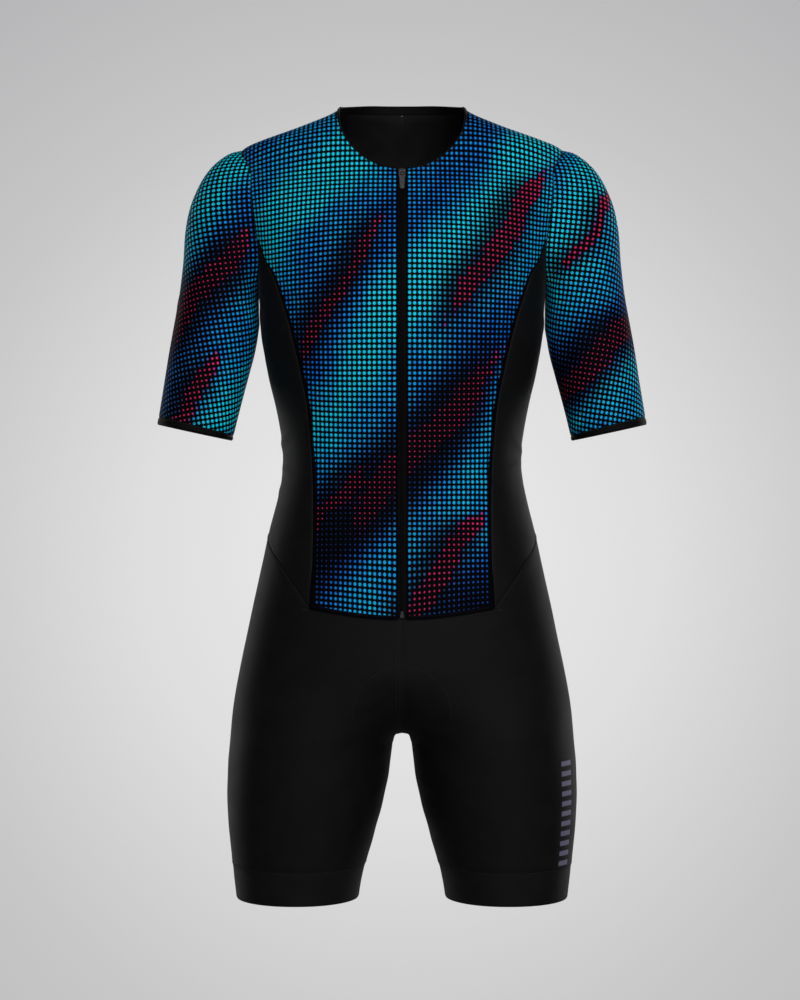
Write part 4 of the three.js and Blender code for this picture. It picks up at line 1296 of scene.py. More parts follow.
@dataclass
class Top:
    """The zipped top: two fronts, two side panels and the back."""

    materials: Materials
    tapes: dict[Side, bpy.types.Object]
    thickness: float = 0.0009
    lower_rows: int = 108
    upper_rows: int = 58
    front_columns: int = 46
    side_columns: int = 42
    back_columns: int = 44
    dot_margin: float = 5.6
    hem_margin: float = 4.4
    top_margin: float = 3.0
    fan_width: float = 95.0
    fan_from: float = 470.0
    fan_to: float = 558.0
    hem_ridge: float = 0.5
    hem_ridge_at: float = 2.2
    hem_ridge_width: float = 1.6
    zip_reach: float = 0.05

    def first_rows(self) -> Grid:
        """Shares up the lower part, with close rows beside the hem."""
        return np.concatenate([FIRST_ROWS, np.linspace(0, 1, self.lower_rows + 1)[1:]])[:, None]

    def margin(self, grid: Grid) -> Grid:
        """How far inside its plain border the print lies at each point.

        Args:
            grid: A panel's grid.

        Returns:
            The distances, in millimetres.
        """
        in_top = np.arange(len(grid))[:, None] > self.lower_rows + len(FIRST_ROWS) - 1
        beside = np.where(in_top, self.top_margin, edge_distance(grid, ("last",)) - self.dot_margin)
        return np.minimum(beside, edge_distance(grid, ("lower",)) - self.hem_margin)

    def front_grid(self) -> Grid:
        """The left front, from the zip and neckline to the side seam and armhole.

        Returns:
            The grid of points.
        """
        u = spread(self.front_columns, 0.02)[None, :]
        v = self.first_rows()
        turn, height = FORM.front_seam(v)
        z = mix(mix(HEM_CENTRE_Z, FORM.front_end_z, v), height, u * u)
        lower = FORM.body_point(mix(FORM.zip_turn(z), turn - FORM.seam_turn, u), z)
        normals = normals_of(lower)
        lower = lower + normals * FORM.lift(z)[..., None]
        s = np.linspace(0, FRONT_JUNCTION, self.upper_rows + 1)[1:, None]
        outer_turn, outer_z, _ = FORM.armhole(FRONT_JUNCTION - s, HALF_SEAM)
        zip_z = mix(FORM.front_end_z, FORM.zip_top, np.minimum(s / NECK_START, 1))
        share = np.clip((s - NECK_START) / (FRONT_JUNCTION - NECK_START), 0, 1)
        neck_turn = mix(FORM.zip_turn(FORM.zip_top), SHOULDER_SEAM_TURN,
                        np.sin(share * np.pi / 2))
        on_zip = s <= NECK_START
        inner_turn = np.where(on_zip, FORM.zip_turn(zip_z), neck_turn)
        inner_z = np.where(on_zip, zip_z, FORM.neckline(neck_turn))
        away = np.where(s >= FRONT_JUNCTION, 2 * FORM.seam_turn, 0)
        upper = FORM.body_point(mix(inner_turn, outer_turn, u) - away,
                                mix(inner_z, outer_z, u))
        return np.concatenate([lower, upper])

    def side_grid(self) -> Grid:
        """The left side panel, between both side seams, the waist seam and the armhole.

        Returns:
            The grid of points.
        """
        u = spread(self.side_columns, 0.025)[None, :]
        v = spread(self.lower_rows, 0.006)[:, None]
        bottom = (FORM.side_turn(u), FORM.waist_seam(FORM.side_turn(u)) + HALF_SEAM)
        top = FORM.armhole(mix(FRONT_JUNCTION, BACK_JUNCTION, u), HALF_SEAM)[:2]
        front, back = FORM.front_seam(v), FORM.back_seam(v)
        turn, z = (
            mix(bottom[i], top[i], v) + mix(front[i], back[i], u)
            - mix(mix(bottom[i][:, :1], bottom[i][:, -1:], u),
                  mix(top[i][:, :1], top[i][:, -1:], u), v)
            for i in range(2))
        return FORM.body_point(turn + mix(FORM.seam_turn, -FORM.seam_turn, u), z)

    def back_grid(self) -> Grid:
        """The back's right half, from the middle plane round to the side seam.

        Returns:
            The grid of points.
        """
        u = spread(self.back_columns, 0.02)[None, :-3]
        u = u / u[0, -1]
        v = self.first_rows()
        turn, height = FORM.back_seam(v)
        seam_z = FORM.waist_seam(mix(FORM.back_turn, 180, u)) + HALF_SEAM
        z = mix(seam_z + height - (FORM.back_corner_z + HALF_SEAM), height, v)
        lower = FORM.body_point(mix(turn + FORM.seam_turn, 180, u), z)
        rows = ARM_KNOTS - BACK_JUNCTION
        s = np.linspace(0, rows, self.upper_rows + 1)[1:, None]
        outer_turn, outer_z, _ = FORM.armhole(BACK_JUNCTION + s, HALF_SEAM)
        share = np.clip((s - NECK_START) / (rows - NECK_START), 0, 1)
        neck_turn = mix(180, SHOULDER_SEAM_TURN, share)
        centre_z = mix(FORM.back_end_z, float(FORM.neckline(180.0)), s / NECK_START)
        on_centre = s <= NECK_START
        inner_turn = np.where(on_centre, 180, neck_turn)
        inner_z = np.where(on_centre, centre_z, FORM.neckline(neck_turn))
        away = np.where(s >= rows, 2 * FORM.seam_turn, 0) * (1 - 0.2 * u)
        upper = FORM.body_point(mix(outer_turn, inner_turn, u) + away,
                                mix(outer_z, inner_z, u))
        half = np.concatenate([lower, upper])
        centre_rows = len(lower) + int(np.sum(on_centre))
        half[:centre_rows, -1, 0] = 0
        return mirrored(half)

    def front(self, side: Side) -> bpy.types.Object:
        """Makes one printed front.

        Args:
            side: The wearer's side.

        Returns:
            The piece.
        """
        base = self.front_grid()
        normals = normals_of(base)
        beside_zip = base[:, 0, 0] < ZIP_HALF_GAP + self.zip_reach
        flat = lay_flat(base, normals, (1, 0, 0), False,
                        np.where(beside_zip, ZIP_HALF_GAP, np.nan))
        x, z = base[..., 0], base[..., 2]
        fan = (HEM_CORNER_Z - HEM_CENTRE_Z) * (1 - x / self.fan_width) * smoothstep(
            -z, self.fan_from, self.fan_to)
        flat[..., 1] += fan * MM
        seam, hem = edge_distance(base, ("last", "upper")), edge_distance(base, ("lower",))
        margin = self.margin(base)
        if side is Side.RIGHT:
            base, normals = mirrored(base), normals_of(mirrored(base))
            flat = flat[:, ::-1] * FLAT_ACROSS
            seam, margin, hem = (a[:, ::-1] for a in (seam, margin, hem))
        points = rolled(creased(base, normals), normals, seam)
        ridge = self.hem_ridge * np.exp(-((hem - self.hem_ridge_at) / self.hem_ridge_width) ** 2)
        points = points + normals * ridge[..., None]
        piece = cloth_object(f"printed_front_{side.word}", points, flat, False, {
            "print_tone": FRONT_PRINT.tones(base), "print_margin": margin})
        walled(piece, self.thickness, self.materials.dots, self.materials.inside)
        stand_in(f"front_panel_{side.word}")
        declare_sheet(piece, points, flat)
        return piece

    def side(self, side: Side) -> bpy.types.Object:
        """Makes one black side panel.

        Args:
            side: The wearer's side.

        Returns:
            The piece.
        """
        base = on_side(self.side_grid(), side)
        normals = normals_of(base)
        flat = lay_flat(base, normals, (0, 0, 1), True)
        points = rolled(creased(base, normals), normals, edge_distance(base, ALL_EDGES))
        piece = cloth_object(f"side_{side.word}", points, flat, False)
        walled(piece, self.thickness, self.materials.black, self.materials.inside)
        stand_in(f"side_panel_{side.word}")
        declare_sheet(piece, points, flat)
        return piece

    def back(self) -> bpy.types.Object:
        """Makes the printed back in one piece.

        Returns:
            The piece.
        """
        half = self.back_grid()
        on_middle = half[:, 0, 0] == 0
        half_normals = normals_of(half)
        half_normals[on_middle, 0, 0] = 0
        flat = lay_flat(half, half_normals, (-1, 0, 0), False,
                        np.where(on_middle, 0.0, np.nan))
        margin, edge = self.margin(half), edge_distance(half, ("last", *ENDS))
        base = np.concatenate([mirrored(half), half], 1)
        normals = np.concatenate([mirrored(half_normals), half_normals], 1)
        flat = np.concatenate([flat[:, ::-1] * FLAT_ACROSS, flat], 1)
        margin, edge = (np.concatenate([a[:, ::-1], a], 1) for a in (margin, edge))
        points = rolled(creased(base, normals), normals, edge)
        piece = cloth_object("printed_back", points, flat, True, {
            "print_tone": BACK_PRINT.tones(base), "print_margin": margin},
            slit=half.shape[1] - 1)
        walled(piece, self.thickness, self.materials.dots, self.materials.inside)
        stand_in("back_panel")
        declare_sheet(piece, points, flat)
        return piece

    def build(self) -> list[bpy.types.Object]:
        """Makes all five pieces."""
        return [*(make(side) for make in (self.front, self.side) for side in Side), self.back()]


def declare_sheet(piece: bpy.types.Object, points: Grid, flat: Grid,
                  layers: int = 1) -> None:
    """Works out a sheet's flat width, length and area, and logs them.

    Args:
        piece: The piece of cloth.
        points: Its grid in millimetres.
        flat: Its flat pattern in metres.
        layers: How many layers it is folded into; what shows is one of them.
    """
    width, length = (float(v) for v in np.ptp(flat.reshape(-1, 2), axis=0))
    length /= layers
    area = min(area_of(points) / layers, width * length)
    LOG.info("%s flat %.3f x %.3f m, area %.4f m2", piece.name, width, length, area)


@dataclass
class Sleeves:
    """Both sleeves with their narrow black edges."""

    materials: Materials
    thickness: float = 0.0009
    rows: int = 104
    columns: int = 116
    print_turn: float = 0.38
    lean: float = 0.25
    print_border: float = 0.6
    edge_rows: int = 8
    edge_round: float = 0.268
    edge_length: float = 0.33
    edge_thickness: float = 0.0013
    edge_out: float = 0.35
    edge_roll: float = 0.9

    def numbers(self) -> Grid:
        """Places round the sleeve, from the seam under the arm and back to it."""
        return ARM_KNOTS // 2 + np.linspace(0, ARM_KNOTS, self.columns + 1)[None, :]

    def sleeve(self, side: Side) -> list[bpy.types.Object]:
        """Makes one printed sleeve, its seam under the arm, and its edge.

        Args:
            side: The wearer's side.

        Returns:
            The sleeve and its edge.
        """
        cuff = 1 - CUFF_DEPTH / SLEEVE_LENGTH
        along = spread(self.rows, 0.012)[:, None] * cuff
        base = on_side(FORM.sleeve_point(self.numbers(), along), side)
        normals = normals_of(base, True)
        axis = np.array([-side.value * self.lean, 0.02, 1.0])
        flat = lay_flat(base, normals, axis / np.linalg.norm(axis), True)
        flat -= flat[0, self.columns // 2]
        angle = side.value * self.print_turn
        turned = flat @ np.array([[math.cos(angle), math.sin(angle)],
                                  [-math.sin(angle), math.cos(angle)]])
        points = rolled(creased(base, normals), normals, edge_distance(base, ENDS))
        hem = edge_distance(base, ("upper",))
        piece = cloth_object(f"printed_sleeve_{side.word}", points, turned, True, {
            "print_tone": SLEEVE_PRINT.tones(base), "print_margin": hem - self.print_border})
        walled(piece, self.thickness, self.materials.dots, self.materials.inside)
        stand_in(f"sleeve_{side.word}")
        edge = self.edge(side)
        declare_sheet(piece, points, flat)
        return [piece, edge]

    def edge(self, side: Side) -> bpy.types.Object:
        """Makes the narrow bound edge of one sleeve, rounded over its hem.

        Args:
            side: The wearer's side.

        Returns:
            The piece.
        """
        start = 1 - CUFF_DEPTH / SLEEVE_LENGTH + SEAM / 250
        along = mix(start, 1.0, np.linspace(0, 1, self.edge_rows + 1))[:, None]
        base = on_side(FORM.sleeve_point(self.numbers(), along), side)
        distance = edge_distance(base, ENDS)
        roll = self.edge_roll * np.exp(-(distance / self.edge_roll) ** 2)
        points = base + normals_of(base, True) * (self.edge_out - roll)[..., None]
        around = np.linspace(0, self.edge_round, self.columns + 1)[None, :]
        flat = np.stack(np.broadcast_arrays(around, along * self.edge_length), -1)
        piece = cloth_object(f"sleeve_edge_{side.word}", points, flat, True)
        walled(piece, self.edge_thickness, self.materials.binding, self.materials.inside)
        stand_in(f"sleeve_hem_{side.word}")
        return piece

    def build(self) -> list[bpy.types.Object]:
        """Makes both sleeves and their edges."""
        return [piece for side in Side for piece in self.sleeve(side)]


@dataclass
class Shorts:
    """The black shorts: one piece round each leg, with a gripper band."""

    materials: Materials
    thickness: float = 0.0009
    top_rows: int = 34
    fork_rows: int = 26
    lower_rows: int = 44
    front_columns: int = 30
    side_columns: int = 42
    back_columns: int = 36
    arch_half_width: float = 7.6
    arch_depth: float = 3.0
    arch_flare: float = 0.25
    arch_height: float = 12.0
    arch_middle: float = 8.9
    arch_slope: float = 0.109
    arch_corner: float = 0.15
    centre_gap: float = 0.05
    last_rows: tuple[float, ...] = (0.9925, 0.9965, 1.0)
    bars_top: tuple[float, float] = (181, -709)
    bars_bottom: tuple[float, float] = (177, -836)
    band_columns: int = 104
    band_rows: int = 12
    band_round: float = 0.45
    band_thickness: float = 0.0012

    def leg_grid(self) -> Grid:
        """The left half of the shorts, rows from the gripper seam up to the waist.

        Returns:
            The grid of points.
        """
        front = spread(self.front_columns * 2, 0.012)[:self.front_columns + 4] * 2
        front = front / front[-1]
        turns = np.concatenate([
            front * FORM.corner_turn,
            FORM.side_turn(np.linspace(0, 1, self.side_columns + 1))[1:],
            mix(180, FORM.back_turn, self.back_shares()[::-1])[1:],
        ])
        start = -LEG_BLEND_FROM
        v = spread(self.top_rows, 0.012)[:-3, None]
        v = v / v[-1]
        top_z = mix(FORM.waist_seam(turns)[None, :] - HALF_SEAM, start, v)
        top = FORM.body_point(turns[None, :], top_z)
        top[..., 0] = np.maximum(top[..., 0], HALF_SEAM)

        def limits(z: Grid) -> tuple[Grid, Grid]:
            """Where round the leg the centre seam lies.

            Args:
                z: Heights.

            Returns:
                The turns in front and behind.
            """
            first, last = (root(lambda t: FORM.leg_point(t, z)[..., 0] - HALF_SEAM,
                                start + 0 * z, end + 0 * z) for start, end in ((0, 90), (360, 270)))
            over = z > FORM.crotch_z + 0.01
            return np.where(over, first, 0), np.where(over, last, 360)

        def around(share: Grid, first: Grid, last: Grid) -> Grid:
            """The turn at a share of the way round."""
            return (360 * share + first * (1 - share) ** EDGE_PULL
                    - (360 - last) * share ** EDGE_PULL)

        first, last = limits(np.array([start]))
        p = FORM.body_point(turns, np.full_like(turns, start))
        axis_x, axis_y = FORM.leg[0](start), FORM.leg[1](start)
        degrees = (np.degrees(np.arctan2(axis_y - p[:, 1], axis_x - p[:, 0])) + 360) % 360
        shares = root(lambda s: around(s, first, last) - degrees, 0 * turns, 1 + 0 * turns)
        shares[0], shares[-1] = 0, 1
        fork = mix(start, FORM.crotch_z, np.sin(np.linspace(0, 1, self.fork_rows + 1)[1:]
                                               * np.pi / 2))
        v = np.linspace(0, 1, self.lower_rows + 1)[1:] ** 1.3
        v = np.concatenate([v[:-1], self.last_rows])
        lower = mix(FORM.crotch_z, GRIPPER_SEAM_Z + HALF_SEAM, v)
        z = np.concatenate([fork, lower])[:, None]
        first, last = limits(z)
        rest = FORM.leg_point(around(shares[None, :], first, last), z + 0 * shares[None, :])
        return np.concatenate([top, rest])[::-1]

    def arch_push(self, base: Grid) -> Grid:
        """How far the inner thighs part further just below the fork, so its arch is flat.

        Args:
            base: The left leg's grid before it is creased.

        Returns:
            The sideways move of each point, in millimetres.
        """
        x, y, z = (base[..., i] for i in range(3))
        x = np.abs(x)
        level = z - self.arch_slope * np.abs(y - self.arch_middle)
        top = level[x < SEAM].min()
        below = np.clip(top - level, 0, self.arch_height)
        wanted = (self.arch_half_width * np.minimum(below / self.arch_depth, 1) ** self.arch_corner
                  + self.arch_flare * below)
        return np.maximum(wanted - x, 0)

    def back_shares(self) -> Grid:
        """Shares of the seat's columns from the middle outwards, close beside the seam."""
        shares = spread(self.back_columns * 2, 0.01)[:self.back_columns + 4]
        return shares / shares[-1]

    def leg(self, side: Side) -> bpy.types.Object:
        """Makes one leg of the shorts, up to the waist.

        Args:
            side: The wearer's side.

        Returns:
            The piece.
        """
        base = on_side(self.leg_grid(), side)
        normals = normals_of(base)
        flat = lay_flat(base, normals, (0, 0, 1), True)
        points = rolled(creased(base, normals), normals, edge_distance(base, ALL_EDGES), 0.55)
        points[..., 0] = side.value * np.maximum(side.value * points[..., 0], self.centre_gap)
        points[..., 0] += side.value * self.arch_push(base)
        piece = cloth_object(f"short_leg_{side.word}", points, flat, False)
        outer = self.thigh_print(base, flat) if side is Side.LEFT else self.materials.black
        walled(piece, self.thickness, outer, self.materials.inside)
        stand_in(f"leg_{side.word}")
        declare_sheet(piece, points, flat)
        return piece

    def thigh_print(self, base: Grid, flat: Grid) -> bpy.types.Material:
        """Places the column of bars on the left leg's flat pattern, facing half outwards.

        Args:
            base: The left leg's grid.
            flat: Its flat pattern.

        Returns:
            The finish with its bars in place.
        """
        def at(x: float, z: float) -> Grid:
            """The flat place nearest to a place on the front."""
            score = np.hypot(base[..., 0] - x, base[..., 2] - z) + 1e3 * (base[..., 1] > 0)
            return flat[np.unravel_index(np.argmin(score), score.shape)]

        upper, lower = at(*self.bars_top), at(*self.bars_bottom)
        return ThighPrint(centre=float((upper[0] + lower[0]) / 2),
                          bottom=float(lower[1])).build()

    def gripper(self, side: Side) -> bpy.types.Object:
        """Makes the band at one leg's hem.

        Args:
            side: The wearer's side.

        Returns:
            The piece.
        """
        turns = np.linspace(0, 360, self.band_columns + 1)[None, :]
        z = mix(GRIPPER_SEAM_Z - SEAM, LEG_HEM_Z, spread(self.band_rows, 0.04))[:, None]
        base = on_side(FORM.leg_point(turns + 0 * z, z + 0 * turns)[::-1], side)
        normals = normals_of(base, True)
        points = rolled(creased(base, normals), normals, edge_distance(base, ENDS), 0.5, 1.0)
        around = np.linspace(0, self.band_round, turns.size)[None, :]
        flat = np.stack(np.broadcast_arrays(around, z[::-1] * MM), -1)
        piece = cloth_object(f"gripper_band_{side.word}", points, flat, True)
        walled(piece, self.band_thickness, self.materials.band, self.materials.inside)
        stand_in(f"leg_gripper_{side.word}")
        declare_sheet(piece, points, flat)
        return piece

    def build(self) -> list[bpy.types.Object]:
        """Makes both legs and their bands."""
        return [make(side) for side in Side for make in (self.leg, self.gripper)]


@dataclass
class Neck:
    """The folded binding that stands on the neckline."""

    materials: Materials
    front_height: float = 3.2
    back_height: float = 10.4
    gap: float = 0.45
    thick: float = 1.8
    steps: int = 50
    turn_from: float = 40.0
    turn_to: float = 92.0
    rise_from: float = 58.0
    rise_to: float = 150.0
    front_lean: tuple[float, float] = (-0.1, 0.54)
    back_lean: tuple[float, float] = (-0.75, -0.12)
    round_flat: float = 0.42
    width_flat: float = 0.021

    def grid(self) -> Grid:
        """The binding's closed section, swept along the neckline from zip to zip.

        Returns:
            The grid, its rows round the section.
        """
        share = np.linspace(0, 1, self.steps)
        front = mix(float(FORM.zip_turn(FORM.zip_top)), SHOULDER_SEAM_TURN,
                    np.sin(share * np.pi / 2))
        turns = np.concatenate([front, np.linspace(SHOULDER_SEAM_TURN, 180, self.steps)[1:]])
        base = FORM.body_point(turns, FORM.neckline(turns))
        turned = smoothstep(turns, self.turn_from, self.turn_to)
        tall = smoothstep(turns, self.rise_from, self.rise_to)
        sideways, forward = (mix(a, b, turned) for a, b in zip(self.front_lean, self.back_lean))
        lean = unit(np.stack([sideways * base[:, 0] / NECK_HALF_WIDTH, forward,
                              np.ones_like(tall)], -1))
        ahead = np.gradient(base, axis=0)
        ahead[-1] = (-1, 0, 0)
        out = unit(np.cross(ahead, lean))
        height = mix(self.front_height, self.back_height, tall) / lean[:, 2] ** tall
        half = self.thick / 2
        angle = np.linspace(0, np.pi, 7)
        ups = np.concatenate([[0, 0.08, 0.3, 0.6, 0.85], 1 + 0 * angle, [0.85, 0.6, 0.3, 0.08, 0]])
        caps = np.concatenate([np.zeros(5), np.sin(angle) * half, np.zeros(5)])
        outs = np.concatenate([[0, -0.05, 0.22, 0.22, 0.1], -half + np.cos(angle) * half,
                               [-self.thick - 0.05] * 4 + [-self.thick]])
        rows = []
        for up, cap, outward in zip(ups, caps, outs):
            rise = self.gap + (height - half - self.gap) * up + cap
            rows.append(base + lean * rise[:, None] + out * outward)
        rows.append(rows[0])
        grid = np.array(rows)
        other = mirrored(grid)
        grid[:, -1, 0] = 0
        return np.concatenate([grid, other[:, 1:]], 1)

    def build(self) -> list[bpy.types.Object]:
        """Makes the binding as one closed tube with capped ends.

        Returns:
            The one piece.
        """
        points = self.grid()
        rows, columns = points.shape[:2]
        flat = np.stack(np.broadcast_arrays(
            np.linspace(0, self.round_flat, columns)[None, :],
            np.linspace(0, self.width_flat, rows)[:, None]), -1)
        piece = cloth_object("neck_binding", points, flat, False)
        bm = bmesh.new()
        bm.from_mesh(piece.data)
        bmesh.ops.remove_doubles(bm, verts=bm.verts, dist=JOIN_DISTANCE)
        bmesh.ops.holes_fill(bm, edges=[e for e in bm.edges if e.is_boundary], sides=0)
        bmesh.ops.recalc_face_normals(bm, faces=bm.faces)
        bm.to_mesh(piece.data)
        bm.free()
        piece.data.materials.append(self.materials.binding)
        stand_in("collar_binding")
        declare_sheet(piece, points, flat, layers=2)
        return [piece]


@dataclass
class Zip:
    """The front zip: coil, tapes, end stop, slider and pull."""

    materials: Materials
    top_z: float = -77.5
    bottom_z: float = -562.0
    chain_end_z: float = -554.4
    tooth_pitch: float = 1.55
    stop_taper: float = 0.45
    loop_size: tuple[float, float, float] = (1.25, 0.52, 0.72)
    loop_across: float = 0.95
    loop_face: float = 0.35
    tape: tuple[float, float] = (0.3, 4.5)
    tape_face: float = -0.3
    tape_thick: float = 0.7
    core_half: float = 1.5
    core_face: float = 0.3
    core_thick: float = 0.6
    bulge: float = 0.12
    stop_round: float = 0.00035
    slider_round: float = 0.0002
    pull_round: float = 0.00025
    tapes: dict[Side, bpy.types.Object] = field(default_factory=dict)

    def profile(self, z: Grid, out: float = 0.0) -> tuple[Grid, Grid, Grid]:
        """The zip's line on the middle plane.

        Args:
            z: Heights.
            out: How far off the cloth's face.

        Returns:
            The points, the outward directions and the directions down the zip.
        """
        z = np.asarray(z, float)

        def line(h: Grid) -> Grid:
            """The zip's line on the cloth at some heights."""
            return np.stack([0 * h, -FORM.front(h) - FORM.lift(h), h], -1)

        slope = unit(line(z + 0.5) - line(z - 0.5))
        outward = np.stack([0 * z, -slope[..., 2], slope[..., 1]], -1)
        return line(z) + outward * out, outward, -slope

    def heights(self, step: float) -> Grid:
        """Heights that lie an even step apart along the zip.

        Args:
            step: The distance along the zip.

        Returns:
            The heights.
        """
        z = np.linspace(self.top_z - 0.4, self.chain_end_z, 1200)
        line = self.profile(z)[0]
        run = np.concatenate([[0], np.cumsum(np.linalg.norm(np.diff(line, axis=0), axis=1))])
        return np.interp(np.arange(step / 2, run[-1], step), run, z)

    def coil(self) -> bpy.types.Object:
        """Makes the two rows of coil loops, meshed on the middle plane.

        Returns:
            The piece.
        """
        bm = bmesh.new()
        for hand in (-1, 1):
            for z in self.heights(self.tooth_pitch):
                z = z - (hand > 0) * self.tooth_pitch / 2
                (point,), (outward,), (down,) = self.profile([z], self.loop_face)
                across = np.array([1.0, 0, 0])
                turn = Matrix((across, down, outward)).transposed().to_4x4()
                place = Matrix.Translation(Vector((point + across * hand * self.loop_across) * MM))
                size = Matrix.Diagonal((*(s * MM for s in self.loop_size), 1))
                bmesh.ops.create_icosphere(bm, subdivisions=1, radius=1, matrix=place @ turn @ size)
        bmesh.ops.recalc_face_normals(bm, faces=bm.faces)
        piece = self.finished("zip_coil_loops", bm, self.materials.coil, True)
        return piece

    def strip(self, name: str, low: float, high: float, face: float, thick: float,
              bottom: float) -> bpy.types.Object:
        """Makes a woven strip down the zip between two distances from the middle plane.

        Args:
            name: The strip's name.
            low: Its edge nearer -X.
            high: Its edge nearer +X.
            face: How far off the cloth it lies.
            thick: How thick it is.
            bottom: The height of its lower end.

        Returns:
            The piece.
        """
        z = np.linspace(bottom, self.top_z, 150)
        line, outward, _ = self.profile(z, face)
        x = np.linspace(low, high, 9)
        points = line[:, None, :] + np.stack([x, 0 * x, 0 * x], -1)[None]
        bulge = self.bulge * np.cos((x - low) / (high - low) * 2 * np.pi - np.pi)
        points = points + outward[:, None, :] * bulge[None, :, None]
        flat = np.stack(np.broadcast_arrays(x[None, :] * MM, z[:, None] * MM), -1)
        piece = cloth_object(name, points, flat, False)
        walled(piece, thick * MM, self.materials.tape, self.materials.tape)
        return piece

    def finished(self, name: str, bm: bmesh.types.BMesh, material: bpy.types.Material,
                 smooth: bool) -> bpy.types.Object:
        """Turns a bmesh into a piece with one finish.

        Args:
            name: The piece's name.
            bm: Its shape.
            material: Its finish.
            smooth: True to shade it smoothly.

        Returns:
            The piece.
        """
        mesh = bpy.data.meshes.new(name)
        bm.to_mesh(mesh)
        bm.free()
        shade(mesh, smooth)
        mesh.materials.append(material)
        return placed(name, mesh)

    def refined(self, node: str, name: str, radius: float,
                coat: bpy.types.Material) -> bpy.types.Object:
        """Makes a hard part from its solid, with its corners rounded.

        Args:
            node: The solid's name.
            name: The new piece's name.
            radius: How far the corners are rounded, in metres.
            coat: Its finish.

        Returns:
            The piece.
        """
        bm = bmesh.new()
        bm.from_mesh(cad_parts[node].data)
        bmesh.ops.remove_doubles(bm, verts=bm.verts, dist=1e-6)
        bmesh.ops.dissolve_limit(bm, angle_limit=math.radians(2), verts=bm.verts,
                                 edges=bm.edges)
        corners = [e for e in bm.edges if e.is_manifold and e.calc_face_angle(0) > 0.5]
        bmesh.ops.bevel(bm, geom=corners, offset=radius, offset_type="OFFSET", segments=2,
                        profile=0.5, affect="EDGES", clamp_overlap=True, material=-1)
        piece = self.finished(name, bm, coat, False)
        stand_in(node)
        return piece

    def taper(self, piece: bpy.types.Object) -> None:
        """Narrows the upper end of a small cast part, as the stop is crimped there.

        Args:
            piece: The cast part.
        """
        bm = bmesh.new()
        bm.from_mesh(piece.data)
        height = [v.co.z for v in bm.verts]
        middle = (min(height) + max(height)) / 2
        bmesh.ops.scale(bm, vec=(self.stop_taper, 1, 1),
                        verts=[v for v in bm.verts if v.co.z > middle])
        bm.to_mesh(piece.data)
        bm.free()

    def build(self) -> list[bpy.types.Object]:
        """Makes every part of the zip; the pull rides on its own body.

        Returns:
            The pieces that ride with the suit.
        """
        for side in Side:
            low, high = sorted(side.value * x for x in self.tape)
            tape = self.strip(f"zip_tape_woven_{side.word}", low, high, self.tape_face,
                              self.tape_thick, self.bottom_z)
            stand_in(f"zip_tape_{side.word}")
            self.tapes[side] = tape
        core = self.strip("zip_coil_core", -self.core_half, self.core_half, self.core_face,
                          self.core_thick, self.chain_end_z)
        stand_in("zip_chain")
        stop = self.refined("zip_end_stop", "zip_end_stop_cast", self.stop_round,
                            self.materials.stop_coat)
        self.taper(stop)
        slider = self.refined("zip_slider", "zip_slider_cast", self.slider_round,
                              self.materials.slider_coat)
        pull = self.refined("zip_pull", "zip_pull_cast", self.pull_round, self.materials.metal)
        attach(pull, "pull_tab")
        return [*self.tapes.values(), core, self.coil(), stop, slider]


